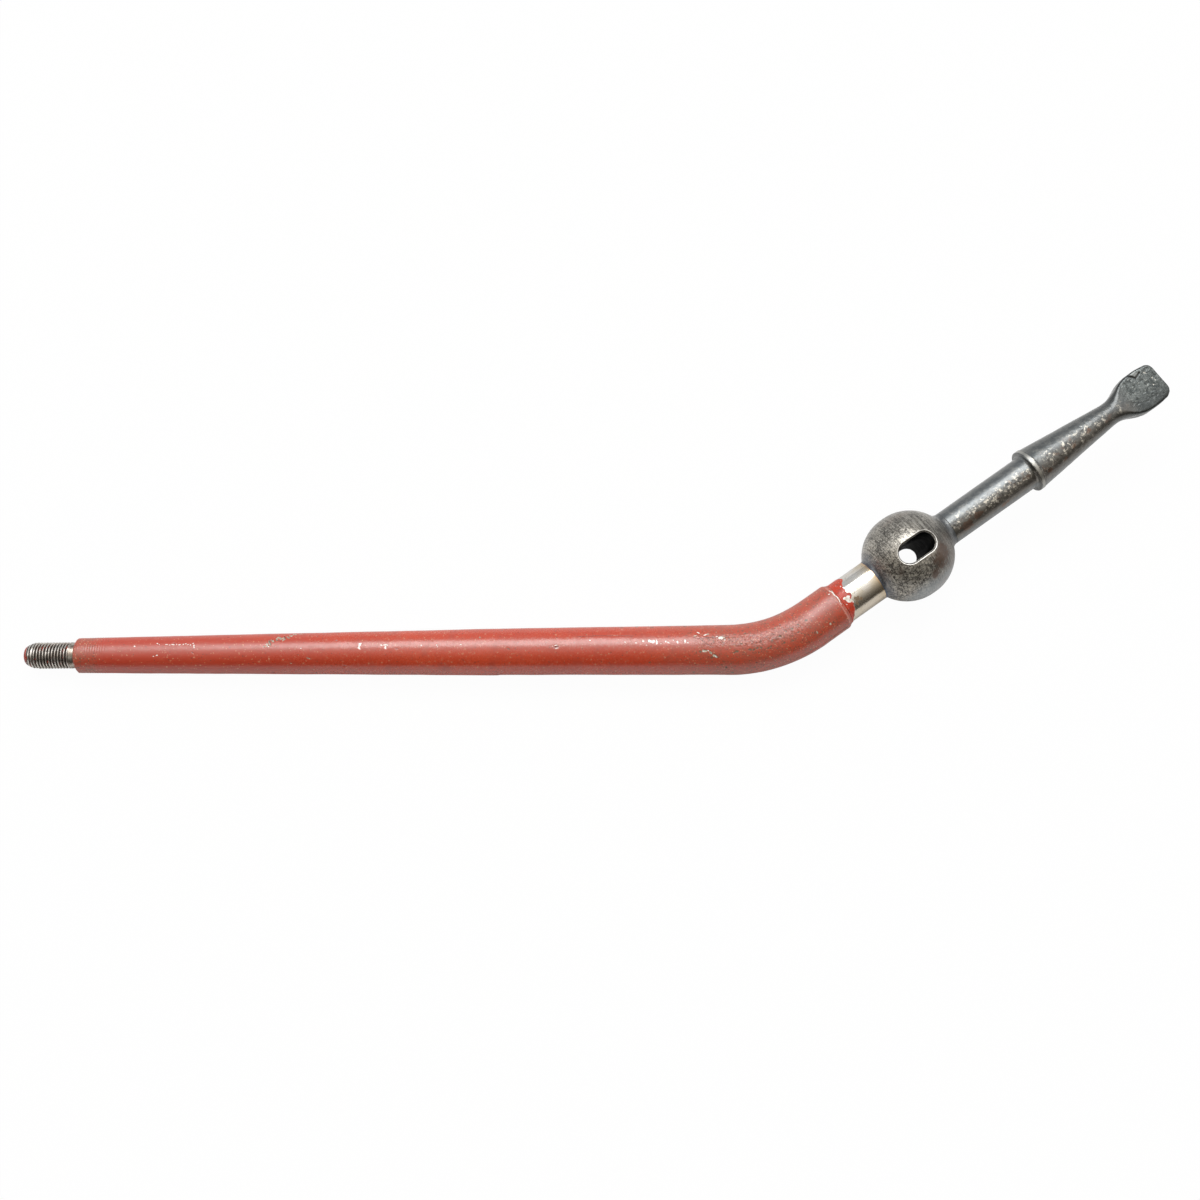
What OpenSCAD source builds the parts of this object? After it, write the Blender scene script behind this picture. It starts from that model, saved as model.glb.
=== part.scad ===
// Tractor gear lever: a cranked, painted handle arm on a turned neck, a slotted
// pivot ball, and a lower shaft that ends in a flattened selector finger.
// The origin is the centre of the ball. +X runs down the shaft to the finger,
// +Z runs along the slot through the ball, and the arm is bent towards +Y.

/* [Handle arm] */
// Straight length from the bend to the thin end
arm_straight = 275.8; // [200:0.1:340]
// Diameter at the thin end
arm_thin_d = 14.5; // [12.5:0.1:18]
// Diameter where the long taper changes to the short one
arm_mid_d = 19.5; // [16:0.1:24]
// Diameter at the bend and the thick end
arm_root_d = 21; // [19.5:0.1:26]
// Distance from the bend to the change of taper
taper_break = 100.7; // [40:0.1:160]
// Angle that the arm is cranked through
bend_angle = 34.6; // [5:0.1:80]
// Radius of the bend along its centre line
bend_r = 62; // [30:1:120]
// Extra diameter that the bend gained when it was forged
bend_swell = 0.2; // [0.1:0.05:1]
// Straight length between the bend and the thick end
stub_len = 13.9; // [8:0.1:40]
// Length of the chamfer on the thin end
thin_chamfer_len = 1; // [0.5:0.1:4]
// Depth of the chamfer on the thin end
thin_chamfer_depth = 1.5; // [0.3:0.1:2]
// Length of the worn bevel on the thick end
root_bevel_len = 2.3; // [0.5:0.1:4]
// Depth of the worn bevel on the thick end
root_bevel_depth = 1.1; // [0.3:0.1:2]

/* [Knob stud] */
// Outside diameter of the thread
thread_d = 11.11; // [9:0.01:14]
// Length of full thread
thread_len = 14.1; // [8:0.1:30]
// Diameter of the plain run-out behind the thread
runout_d = 10.7; // [8.6:0.1:11.1]
// Length of the plain run-out
runout_len = 3.4; // [1:0.1:8]
// Length of the worn lead in front of the thread
lead_len = 2.7; // [1:0.1:6]
// Diameter at the front of the lead
lead_d = 8.8; // [7:0.1:8.9]
// Length of the rounded nose
nose_len = 1.3; // [0.4:0.1:2.5]
// Diameter of the flat on the nose
nose_d = 6.4; // [3:0.1:6.9]

/* [Neck] */
// Diameter of the ground neck
neck_d = 18.3; // [16:0.1:20]
// Length of the neck between the arm and the ball's fillet
neck_len = 18; // [8:0.1:40]

/* [Pivot ball] */
// Diameter of the ball
ball_d = 38.1; // [34:0.1:50]
// Length of the straight land round the ball's middle
ball_land = 1.2; // [0.2:0.1:4]
// Fillet between the ball and the neck
neck_fillet = 2.2; // [1:0.1:8]
// Fillet between the ball and the lower shaft
shaft_fillet = 4; // [1:0.1:8]
// Width of the guide slot
slot_w = 8.7; // [6:0.1:12]
// Length of the guide slot along the lever
slot_len = 16.6; // [12.1:0.1:19]

/* [Lower shaft] */
// Diameter of the shaft
shaft_d = 15; // [12:0.1:18]
// Length of the shaft between the ball's fillet and the collar
shaft_len = 43; // [20:0.1:80]
// Fillet at the foot of the shaft, on the collar's face
collar_fillet = 1; // [0.2:0.1:1.5]

/* [Selector finger] */
// Diameter of the rounded lip round the collar
collar_d = 19.5; // [18.5:0.1:26]
// Length of the lip
collar_lip = 2.6; // [1:0.1:5]
// Rounding of the lip's two edges
lip_round = 0.5; // [0.1:0.1:0.5]
// Diameter at the wide end of the cone
cone_d = 19; // [16:0.1:24]
// Length of the cone
cone_len = 42.5; // [30:0.1:80]
// Diameter of the waist between the cone and the blade
waist_d = 10.1; // [8:0.1:12.5]
// Length of the blade from the waist to the tip
blade_len = 26.5; // [24:0.1:50]
// Width of the blade at its widest
blade_w = 18.2; // [14:0.1:26]
// Thickness of the blade across its flats
blade_t = 8; // [5:0.1:10]
// Length over which the round waist flares into the flat blade
flare_len = 14.8; // [10:0.1:16]
// Length over which the waist flattens to the blade's thickness
flatten_len = 10.2; // [8:0.1:16]
// Length over which the blade narrows again towards the tip
toe_len = 8; // [5:0.1:9]
// Amount that each side narrows over that length
toe_in = 0.8; // [0:0.1:1.5]
// Rounding of the tip's corner on the arm's side
tip_round_arm = 2.6; // [0.5:0.1:4]
// Rounding of the tip's other corner
tip_round_far = 3.5; // [0.5:0.1:4]
// Rounding along the blade's long edges
blade_edge = 1.2; // [0.4:0.1:2]
// Lean of the tip's end face
tip_lean = 3; // [0:0.1:6]

/* [Seats] */
// Gap between each spigot and its socket, all round
seat_gap = 0.05; // [0.02:0.01:0.2]
// Diameter of the stud's shank inside the arm
shank_d = 8; // [5:0.1:9]
// Depth of the shank in the arm
shank_len = 22; // [10:0.1:40]
// Diameter of the neck's spigots
neck_spigot_d = 13; // [10:0.1:15]
// Depth of the neck's spigot in the arm
arm_seat_len = 15; // [8:0.1:18]
// Diameter of the shaft's spigots
shaft_spigot_d = 9.5; // [7:0.1:11]
// Depth of the shaft's spigot in the finger
finger_seat_len = 20; // [8:0.1:24]
// Metal left between the ball's sockets and its slot
slot_web = 2.4; // [1:0.1:4]

/* [Hidden] */
$fn = 96;

oxide_red = [0.69, 0.22, 0.16];
bright_steel = [0.72, 0.70, 0.66];
ground_steel = [0.80, 0.78, 0.74];
ball_steel = [0.43, 0.41, 0.39];
shaft_steel = [0.38, 0.39, 0.41];
finger_steel = [0.45, 0.47, 0.47];

ball_r = ball_d / 2;
// How far the fillets bite into the ball, so that they leave its surface at a slight angle
fillet_bite = 0.02;

// Distance from the ball's centre to the end of a fillet of radius f on a bar of radius bar_r
function fillet_reach(f, bar_r) =
    ball_land / 2 + sqrt(pow(ball_r + f - fillet_bite, 2) - pow(bar_r + f, 2));

neck_x = -fillet_reach(neck_fillet, neck_d / 2);
shaft_x = fillet_reach(shaft_fillet, shaft_d / 2);
arm_end_x = neck_x - neck_len;
bend_x = arm_end_x - stub_len;
bend_end = [bend_x - bend_r * sin(bend_angle), bend_r * (1 - cos(bend_angle)), 0];
socket_x = slot_len / 2 + slot_web;

collar_x = shaft_x + shaft_len;
cone_x = collar_x + collar_lip;
waist_x = cone_x + cone_len;

// How far the blade's loft starts inside the cone, and its radius there, just under the cone's end
loft_seam = 0.4;
loft_r = waist_d / 2 - 0.05;
// How far the straight parts of the arm reach inside the bend
bend_lap = 1;
// How far the slot's cutter runs past the ball
cut_over = 1;
// Steps along the flare, between it and the tip, round the tip, and round each corner of a section
flare_steps = 10;
toe_steps = 4;
tip_steps = 6;
corner_steps = 6;

// Turns the Z axis of its children on to +X, starting at x
module along_x(x) {
    translate([x, 0, 0]) rotate([0, 90, 0]) children();
}

// The same along the straight part of the arm, away from the bend
module along_arm(s) {
    translate(bend_end) rotate([0, 0, 180 - bend_angle]) along_x(s) children();
}

// Turned solid whose outline is a list of [distance, radius]
module turned(outline) {
    first = outline[0][0];
    last = outline[len(outline) - 1][0];
    rotate_extrude()
        polygon(concat([[0, first]], [for (p = outline) [p[1], p[0]]], [[0, last]]));
}

// Pin or hole with its named gap
module seat(d, depth, gap = 0) {
    cylinder(d = d + 2 * gap, h = depth + gap);
}

// Painted forging: stub, bend and two-stage taper
module handle_arm() {
    color(oxide_red) difference() {
        union() {
            along_x(bend_x) turned([
                [-bend_lap, arm_root_d / 2],
                [stub_len - root_bevel_len, arm_root_d / 2],
                [stub_len, arm_root_d / 2 - root_bevel_depth],
            ]);
            translate([bend_x, bend_r, 0]) rotate([0, 0, -90 - bend_angle])
                rotate_extrude(angle = bend_angle)
                    translate([bend_r, 0]) circle(d = arm_root_d + bend_swell);
            along_arm(0) turned([
                [-bend_lap, arm_root_d / 2],
                [0, arm_root_d / 2],
                [taper_break, arm_mid_d / 2],
                [arm_straight - thin_chamfer_len, arm_thin_d / 2],
                [arm_straight, arm_thin_d / 2 - thin_chamfer_depth],
            ]);
        }
        along_x(arm_end_x) mirror([0, 0, 1]) seat(neck_spigot_d, arm_seat_len, seat_gap);
        along_arm(arm_straight) mirror([0, 0, 1]) seat(shank_d, shank_len, seat_gap);
    }
}

// Threaded end that the knob screws on to, with its shank inside the arm
module knob_stud() {
    color(bright_steel) {
        along_arm(arm_straight) turned([
            [0, runout_d / 2],
            [runout_len, runout_d / 2],
            [runout_len, thread_d / 2],
            [runout_len + thread_len, thread_d / 2],
            [runout_len + thread_len + lead_len, lead_d / 2],
            [runout_len + thread_len + lead_len + nose_len, nose_d / 2],
        ]);
        along_arm(arm_straight) mirror([0, 0, 1]) seat(shank_d, shank_len);
    }
}

// Ground bar between the arm and the ball, with a spigot at each end
module neck_bar() {
    color(ground_steel) {
        along_x(arm_end_x) cylinder(d = neck_d, h = neck_len);
        along_x(arm_end_x) mirror([0, 0, 1]) seat(neck_spigot_d, arm_seat_len);
        along_x(neck_x) seat(neck_spigot_d, -socket_x - neck_x);
    }
}

// One half of the ball, with its fillet to a bar of radius bar_r
module ball_half(f, bar_r) {
    reach = fillet_reach(f, bar_r) - ball_land / 2;
    rotate_extrude() {
        square([ball_r, ball_land / 2]);
        translate([0, ball_land / 2]) {
            intersection() {
                circle(r = ball_r);
                square([ball_r, reach]);
            }
            difference() {
                polygon([[0, 0], [bar_r + f, reach], [0, reach]]);
                translate([bar_r + f, reach]) circle(r = f);
            }
        }
    }
}

// Turned ball with its guide slot right through it
module pivot_ball() {
    color(ball_steel) difference() {
        along_x(0) {
            mirror([0, 0, 1]) ball_half(neck_fillet, neck_d / 2);
            ball_half(shaft_fillet, shaft_d / 2);
        }
        guide_slot();
        along_x(neck_x) seat(neck_spigot_d + 2 * seat_gap, -socket_x - neck_x + seat_gap);
        along_x(shaft_x) mirror([0, 0, 1])
            seat(shaft_spigot_d + 2 * seat_gap, shaft_x - socket_x + seat_gap);
    }
}

// Round-ended slot along Z
module guide_slot() {
    end_x = (slot_len - slot_w) / 2;
    depth = ball_d + 2 * cut_over;
    translate([0, 0, -depth / 2]) {
        for (x = [-end_x, end_x]) translate([x, 0, 0]) cylinder(d = slot_w, h = depth);
        translate([-end_x, -slot_w / 2, 0]) cube([2 * end_x, slot_w, depth]);
    }
}

// Plain bar between the ball and the collar, with a spigot at each end
module lower_shaft() {
    fillet = min(collar_fillet, collar_d / 2 - lip_round - shaft_d / 2);
    color(shaft_steel) {
        along_x(shaft_x) cylinder(d = shaft_d, h = shaft_len);
        along_x(collar_x - fillet) rotate_extrude() difference() {
            square([shaft_d / 2 + fillet, fillet]);
            translate([shaft_d / 2 + fillet, 0]) circle(r = fillet);
        }
        along_x(shaft_x) mirror([0, 0, 1]) seat(shaft_spigot_d, shaft_x - socket_x);
        along_x(collar_x) seat(shaft_spigot_d, finger_seat_len);
    }
}

// Smooth step from 0 to 1
function ease(u) = let (v = min(1, max(0, u))) v * v * (3 - 2 * v);

// Share of the flare that is done at distance s past the waist
function flare(s) = ease(s / flare_len);

// Share of the flattening that is done there
function flatten(s) = ease(s / flatten_len);

// Half width of the blade at s, on the side whose tip corner has radius r
function half_width(s, r) =
    let (
        full = loft_r + (blade_w / 2 - loft_r) * flare(s),
        side = full - toe_in * ease((s - blade_len + toe_len) / toe_len),
        into = max(0, s - blade_len + r)
    )
    side - r + sqrt(max(0, r * r - into * into));

// Half thickness and corner radius of the section at s
function half_thick(s) = loft_r + (blade_t / 2 - loft_r) * flatten(s);
function corner_r(s) = loft_r + (blade_edge - loft_r) * flatten(s);

// One corner of a section: centre [y, z], radius and start angle
function corner(y, z, r, a) =
    [for (i = [0 : corner_steps]) let (b = a + 90 * i / corner_steps) [y + r * cos(b), z + r * sin(b)]];

// Closed outline of the blade's section at s, as [y, z] points
function section(s) =
    let (
        near = half_width(s, tip_round_arm),
        far = half_width(s, tip_round_far),
        h = half_thick(s),
        r = min(corner_r(s), near, far, h)
    )
    concat(
        corner(near - r, h - r, r, 0), corner(r - far, h - r, r, 90),
        corner(r - far, r - h, r, 180), corner(near - r, r - h, r, 270)
    );

// Blade: a loft from the round waist to the flat, rounded tip
module blade() {
    tip_r = max(tip_round_arm, tip_round_far);
    stations = concat(
        [-loft_seam],
        [for (i = [0 : flare_steps]) flare_len * i / flare_steps],
        [for (i = [1 : toe_steps - 1]) flare_len + (blade_len - tip_r - flare_len) * i / toe_steps],
        [for (i = [0 : tip_steps]) blade_len - tip_r * (1 - sin(90 * i / tip_steps))]
    );
    rings = len(stations);
    count = 4 * (corner_steps + 1);
    function lean(s) = tan(tip_lean) * pow(max(0, s) / blade_len, 2);
    points = [for (s = stations) for (p = section(max(0, s))) [waist_x + s - lean(s) * p[0], p[0], p[1]]];
    sides = [for (k = [0 : rings - 2]) for (i = [0 : count - 1])
        let (a = k * count + i, b = k * count + (i + 1) % count)
        [[a, a + count, b], [b, a + count, b + count]]];
    faces = concat(
        [for (pair = sides) for (face = pair) face],
        [[for (i = [0 : count - 1]) i]],
        [[for (i = [count - 1 : -1 : 0]) (rings - 1) * count + i]]
    );
    polyhedron(points, faces);
}

// Collar, cone and blade in one forging, bored for the shaft
module selector_finger() {
    color(finger_steel) difference() {
        union() {
            along_x(collar_x) turned([
                [0, collar_d / 2 - lip_round],
                [lip_round, collar_d / 2],
                [collar_lip - lip_round, collar_d / 2],
                [collar_lip, cone_d / 2],
                [collar_lip + cone_len, waist_d / 2],
            ]);
            blade();
        }
        along_x(collar_x) seat(shaft_spigot_d, finger_seat_len, seat_gap);
    }
}

handle_arm();
knob_stud();
neck_bar();
pivot_ball();
lower_shaft();
selector_finger();
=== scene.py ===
import math
import bpy
import numpy as np
from mathutils import Matrix, Vector


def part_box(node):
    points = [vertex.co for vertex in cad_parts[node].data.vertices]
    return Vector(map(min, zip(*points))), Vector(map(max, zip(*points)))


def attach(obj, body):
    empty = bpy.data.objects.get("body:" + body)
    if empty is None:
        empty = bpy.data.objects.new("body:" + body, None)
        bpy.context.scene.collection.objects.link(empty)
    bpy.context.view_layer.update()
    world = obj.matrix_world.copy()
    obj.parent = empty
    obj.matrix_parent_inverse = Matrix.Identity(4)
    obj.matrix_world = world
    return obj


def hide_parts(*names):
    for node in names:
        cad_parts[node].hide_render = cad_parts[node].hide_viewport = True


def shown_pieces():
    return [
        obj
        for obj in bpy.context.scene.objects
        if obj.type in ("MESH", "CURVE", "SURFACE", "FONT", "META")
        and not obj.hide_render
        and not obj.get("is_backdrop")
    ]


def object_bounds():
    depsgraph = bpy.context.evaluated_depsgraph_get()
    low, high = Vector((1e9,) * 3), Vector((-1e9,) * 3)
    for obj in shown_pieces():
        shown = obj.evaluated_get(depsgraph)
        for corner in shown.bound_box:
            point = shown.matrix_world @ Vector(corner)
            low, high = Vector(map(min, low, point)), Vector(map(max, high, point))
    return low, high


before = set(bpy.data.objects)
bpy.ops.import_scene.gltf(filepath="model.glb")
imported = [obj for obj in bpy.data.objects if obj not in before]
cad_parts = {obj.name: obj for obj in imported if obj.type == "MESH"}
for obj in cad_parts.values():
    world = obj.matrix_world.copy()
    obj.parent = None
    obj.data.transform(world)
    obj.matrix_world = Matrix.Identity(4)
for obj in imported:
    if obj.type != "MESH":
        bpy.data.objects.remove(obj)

cadBox = [list(corner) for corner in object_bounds()]
mm = 0.001  # sizes are in millimetres, apart from the stage's, and the meshes are in metres
print("frame loaded")

# Places along the lever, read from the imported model: +X runs down the shaft, +Z is the slot's way through
ballLow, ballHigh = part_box("pivot_ball")
lever = {
    "armSeat": 15.0,  # depth of the neck's spigot in the arm
    "fingerSeat": 20.0,  # depth of the shaft's spigot in the finger
    "bend": math.radians(34.6),  # how far the arm is cranked
    "bendRadius": 62.0,
    "stub": 13.9,  # straight length between the arm's thick end and the bend
    "armStraight": 275.8,
    "neckRadius": 9.15,
    "shaftRadius": 7.5,
    "spigotEnd": 10.7,  # from the ball's centre to the ends of the spigots in it
}
neckX = ballLow.x / mm  # where the neck meets the ball's fillet
shaftX = ballHigh.x / mm  # where the shaft meets the ball's other fillet
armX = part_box("neck_bar")[0].x / mm + lever["armSeat"]  # the arm's thick end
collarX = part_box("lower_shaft")[1].x / mm - lever["fingerSeat"]
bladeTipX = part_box("selector_finger")[1].x / mm
bendEnd = lever["stub"] + lever["bendRadius"] * lever["bend"]
armLength = bendEnd + lever["armStraight"]


# Shapes in numbers

def ease(share):
    v = np.clip(share, 0, 1)
    return v * v * (3 - 2 * v)


def latticeValue(corner, seed):  # a repeatable number from 0 to 1 for each whole-number place
    h = corner[..., 0] * 374761393 + corner[..., 1] * 668265263 + corner[..., 2] * 974634777 + seed * 144665
    h = (h ^ (h >> 13)) * 1274126177 & 0xFFFFFFFF
    return ((h ^ (h >> 16)) & 0xFFFFFF) / 0xFFFFFF


def lumps(points, size, seed):  # smooth noise from 0 to 1 with lumps of this size
    scaled = points / size
    base = np.floor(scaled).astype(np.int64)
    t = scaled - base
    t = t * t * (3 - 2 * t)
    total = 0
    for dx in (0, 1):
        for dy in (0, 1):
            for dz in (0, 1):
                step = np.array([dx, dy, dz])
                share = np.prod(np.where(step == 1, t, 1 - t), axis=-1)
                total = total + share * latticeValue(base + step, seed)
    return total


def layeredLumps(points, size, layers, seed):
    total, weight, reach = 0, 0, 1.0
    for layer in range(layers):
        total = total + reach * lumps(points, size / 2 ** layer, seed + 17 * layer)
        weight += reach
        reach *= 0.55
    return total / weight


def uneven(points, size, layers, seed):
    return layeredLumps(points, size, layers, seed) - 0.5


def peak(away, reach):  # 1 in the middle, down to 0 at this reach
    return ease(1 - np.abs(away) / reach)


def pits(points, size, seed, share):  # 1 in the middle of a pit, 0 on the plain surface
    return ease((layeredLumps(points, size, 2, seed) - (1 - share)) / 0.12)


def wrap(angle):
    return (angle + math.pi) % (2 * math.pi) - math.pi


def offSide(turn, degrees):
    return wrap(turn - math.radians(degrees))


def outlinePoints(corners, arcSteps=5):
    # a corner is (distance, radius, rounding, step), and step is the mesh's fineness up to the next one
    rough = []
    for k, (distance, radius, rounding, step) in enumerate(corners):
        here = np.array([distance, radius], float)
        if rounding == 0 or k in (0, len(corners) - 1):
            rough.append((here, step))
            continue
        before = np.array(corners[k - 1][:2]) - here
        after = np.array(corners[k + 1][:2]) - here
        start = here + before / np.linalg.norm(before) * rounding
        end = here + after / np.linalg.norm(after) * rounding
        for u in np.linspace(0, 1, arcSteps):
            point = (1 - u) ** 2 * start + 2 * u * (1 - u) * here + u * u * end
            rough.append((point, step if u == 1 else rounding))
    fine = []
    for (here, step), (there, _) in zip(rough[:-1], rough[1:]):
        count = max(1, math.ceil(np.linalg.norm(there - here) / step))
        fine.extend(here + (there - here) * k / count for k in range(count))
    fine.append(rough[-1][0])
    return np.array(fine)


def shaftAxis(distance):  # centre line of everything below the arm, along +X
    centre = np.stack([distance, 0 * distance, 0 * distance], -1)
    upward = np.tile([0.0, 1.0, 0.0], (len(distance), 1))
    return centre, upward


def armAxis(distance):  # centre line of the arm, from its thick end round the bend to the thin end
    angle = np.clip((distance - lever["stub"]) / lever["bendRadius"], 0, lever["bend"])
    past = distance - lever["stub"] - lever["bendRadius"] * angle
    x = armX - lever["stub"] - lever["bendRadius"] * np.sin(angle) - past * np.cos(angle)
    y = lever["bendRadius"] * (1 - np.cos(angle)) + past * np.sin(angle)
    centre = np.stack([x, y, 0 * x], -1)
    upward = np.stack([np.sin(angle), np.cos(angle), 0 * angle], -1)
    return centre, upward


def turnedRings(outline, turns, axis, crowd=0.0, facing=0.0):
    # a ring of points round the axis for each outline point, closer together on the side that they face
    centre, upward = axis(outline[:, 0])
    even = np.arange(turns) * 2 * math.pi / turns
    turn = wrap(even - crowd * np.sin(even) + math.radians(facing))
    across = np.sin(turn)[None, :, None] * upward[:, None, :]
    across = across + np.cos(turn)[None, :, None] * np.array([0, 0, 1.0])
    rings = centre[:, None, :] + outline[:, 1][:, None, None] * across
    return rings, turn


def unit(ways):
    return ways / np.maximum(np.linalg.norm(ways, axis=-1, keepdims=True), 1e-9)


def outward(rings, hand):  # normals of a grid of rings
    along = np.gradient(rings, axis=0)
    sideways = np.roll(rings, -1, axis=1) - np.roll(rings, 1, axis=1)
    return unit(np.cross(along, sideways) * hand)


def raised(rings, relief, hand):
    return rings + outward(rings, hand) * relief[..., None]


def added(name, data):
    thing = bpy.data.objects.new(name, data)
    bpy.context.scene.collection.objects.link(thing)
    return thing


def posed(right, up, back, place):
    return Matrix.Translation(place) @ Matrix((right, up, back)).transposed().to_4x4()


def pieceFrom(name, points, faces, fields):
    mesh = bpy.data.meshes.new(name)
    mesh.from_pydata((points * mm).tolist(), [], faces)
    mesh.polygons.foreach_set("use_smooth", [True] * len(mesh.polygons))
    for field, values in fields.items():
        store = mesh.attributes.new(field, "FLOAT", "POINT")
        store.data.foreach_set("value", np.asarray(values, np.float32).ravel())
    mesh.validate()
    return added(name, mesh)


def closedRings(name, rings, hand, fields):  # rings whose first and last have shrunk to a point
    count, turns = rings.shape[:2]
    inner = rings[1:-1]
    points = np.vstack([inner.reshape(-1, 3), rings[0].mean(0), rings[-1].mean(0)])
    here = np.arange((count - 2) * turns).reshape(count - 2, turns)
    beside = np.roll(here, -1, axis=1)
    quads = np.stack([here[:-1], beside[:-1], beside[1:], here[1:]], -1).reshape(-1, 4)
    first, last = len(points) - 2, len(points) - 1
    start = np.stack([np.full(turns, first), beside[0], here[0]], -1)
    end = np.stack([np.full(turns, last), here[-1], beside[-1]], -1)
    if hand > 0:
        quads, start, end = quads[:, ::-1], start[:, ::-1], end[:, ::-1]
    values = {}
    for field, grid in fields.items():
        grid = np.broadcast_to(grid, (count, turns))
        values[field] = np.concatenate([grid[1:-1].ravel(), [grid[0, 0], grid[-1, 0]]])
    return pieceFrom(name, points, quads.tolist() + start.tolist() + end.tolist(), values)


def markCover(run, turn, radius, marks, wobble):
    # a mark is (distance, degrees round, length, width, slant or nothing), and the cover is 1 inside it
    cover = np.zeros(np.broadcast(run, turn).shape)
    for at, degrees, long, wide, *slant in marks:
        along, sideways = run - at, radius * offSide(turn, degrees)
        lean = math.radians(sum(slant))
        u = (along * math.cos(lean) + sideways * math.sin(lean)) / (long / 2)
        v = (sideways * math.cos(lean) - along * math.sin(lean)) / (wide / 2)
        cover = np.maximum(cover, np.clip((1.3 - np.hypot(u, v) - wobble) / 0.5, 0, 1))
    return cover


def crackCover(run, turn, radius, path, width, wobble):  # 1 along a line through (distance, degrees) points
    nearest = np.full(np.broadcast(run, turn).shape, 1e9)
    for (s0, a0), (s1, a1) in zip(path[:-1], path[1:]):
        step = np.array([s1 - s0, math.radians(a1 - a0)])
        u, v = run - s0, radius * offSide(turn, a0)
        w = radius * step[1]
        share = np.clip((u * step[0] + v * w) / (step[0] ** 2 + w * w), 0, 1)
        nearest = np.minimum(nearest, np.hypot(u - share * step[0], v - share * w))
    return np.clip(1.4 - (nearest / (width / 2) + wobble), 0, 1)


def rubbedZone(turn):  # a stripe along the front, and fainter wear at the back
    return np.maximum(peak(offSide(turn, -9), 0.75), 0.45 * ease((np.abs(turn) - 1.9) / 0.6))


# Nodes for the finishes

class Feed:  # what a node gives out, reckoned with like a number
    def __init__(self, node, name):
        self.node, self.tree, self.socket = node, node.id_data, node.outputs[name]

    def also(self, name):  # another output of the same node
        return Feed(self.node, name)

    def reckon(self, operation, other=0.0):
        return put(self.tree, "Math", {0: self, 1: other}, operation=operation)

    def __add__(self, other):
        return self.reckon("ADD", other)

    def __sub__(self, other):
        return self.reckon("SUBTRACT", other)

    def __mul__(self, other):
        return self.reckon("MULTIPLY", other)

    def most(self, other):
        return self.reckon("MAXIMUM", other)

    def between(self, low, high, start=0.0, end=1.0):
        inputs = {"Value": self, "From Min": low, "From Max": high, "To Min": start, "To Max": end}
        return put(self.tree, "MapRange", inputs, interpolation_type="SMOOTHSTEP")

    def within(self, low, high, *ends):  # between two places in millimetres
        return self.between(low * mm, high * mm, *ends)


def wire(node, inputs):  # an input takes a feed, a number or a colour
    for key, value in inputs.items():
        socket = node.inputs[key]
        if isinstance(value, Feed):
            value.tree.links.new(value.socket, socket)
        else:
            socket.default_value = (*value, 1.0) if socket.type == "RGBA" else value


def put(tree, kind, inputs, out=0, **settings):  # a new node of this kind, as a feed from one output
    node = tree.nodes.new("ShaderNode" + kind)
    for key, value in settings.items():
        setattr(node, key, value)
    wire(node, inputs)
    return Feed(node, out)


class Finish:  # a material whose colour is laid on coat by coat
    def __init__(self, name):
        self.material = bpy.data.materials.new(name)
        self.material.use_nodes = True
        self.tree = self.material.node_tree
        self.place = put(self.tree, "TexCoord", {}, "Object")
        self.normal = None

    def axes(self):
        along = put(self.tree, "SeparateXYZ", {0: self.place})
        return along, along.also(1)

    def field(self, name):
        return put(self.tree, "Attribute", {}, "Fac", attribute_name=name)

    def sums(self, operation, first, second, key=1):
        return put(self.tree, "VectorMath", {0: first, key: second}, operation=operation)

    def grain(self, size, detail=3, roughness=0.55, stretch=None, twist=0):
        place = self.sums("MULTIPLY", self.place, stretch) if stretch else self.place
        inputs = {"Vector": place, "Scale": 1 / (size * mm), "Detail": detail, "Roughness": roughness}
        return put(self.tree, "TexNoise", {**inputs, "Distortion": twist}, "Fac")

    def flecks(self, size, radius, share, ragged=0.5):  # 1 in scattered spots, in this share of the cells
        stir = put(self.tree, "TexNoise", {"Vector": self.place, "Scale": 2.2 / (size * mm)}, "Color")
        shift = self.sums("SUBTRACT", stir, (0.5, 0.5, 0.5))
        shift = self.sums("SCALE", shift, ragged * size * mm, "Scale")
        moved = self.sums("ADD", self.place, shift)
        cells = put(self.tree, "TexVoronoi", {"Vector": moved, "Scale": 1 / (size * mm)})
        lot = put(self.tree, "SeparateColor", {0: cells.also("Color")})
        return lot.reckon("LESS_THAN", share) * cells.between(radius, radius * 0.7)

    def mix(self, share, first, second):
        return put(self.tree, "Mix", {0: share, 6: first, 7: second}, 2, data_type="RGBA")

    def over(self, share, tone):
        self.colour = self.mix(share, self.colour, tone)

    def bump(self, height, depth):  # each bump lies on the one before
        inputs = {"Height": height, "Distance": depth * mm, "Strength": 1.0}
        if self.normal:
            inputs["Normal"] = self.normal
        self.normal = put(self.tree, "Bump", inputs)

    def lay(self, inputs):
        shader = self.tree.nodes["Principled BSDF"]
        wire(shader, {"Base Color": self.colour, "Normal": self.normal, **inputs})


def dress(piece, finish, node):
    piece.data.materials.append(finish.material)
    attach(piece, "root")
    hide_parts(node)
    print(node, "built")


# Camera

cameraPlan = {
    "lens": 44.0,
    "sensor": 36.0,
    "shiftUp": 0.0003,
    "place": (-169.97, -22.5, 614.74),
    "right": (0.8188, -0.57403, -0.0078),
    "up": (0.56802, 0.80812, 0.15586),
}
camData = bpy.data.cameras.new("camera")
camData.lens = cameraPlan["lens"]
camData.sensor_width = cameraPlan["sensor"]
camData.shift_y = cameraPlan["shiftUp"]
camera = added("camera", camData)
rightWay = Vector(cameraPlan["right"]).normalized()
backWay = rightWay.cross(Vector(cameraPlan["up"])).normalized()
upWay = backWay.cross(rightWay)
camera.matrix_world = posed(rightWay, upWay, backWay, Vector(cameraPlan["place"]) * mm)
bpy.context.scene.camera = camera
print("camera placed")


# Handle arm: painted forging with a bend, a worn thick end and chips down to older coats

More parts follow.
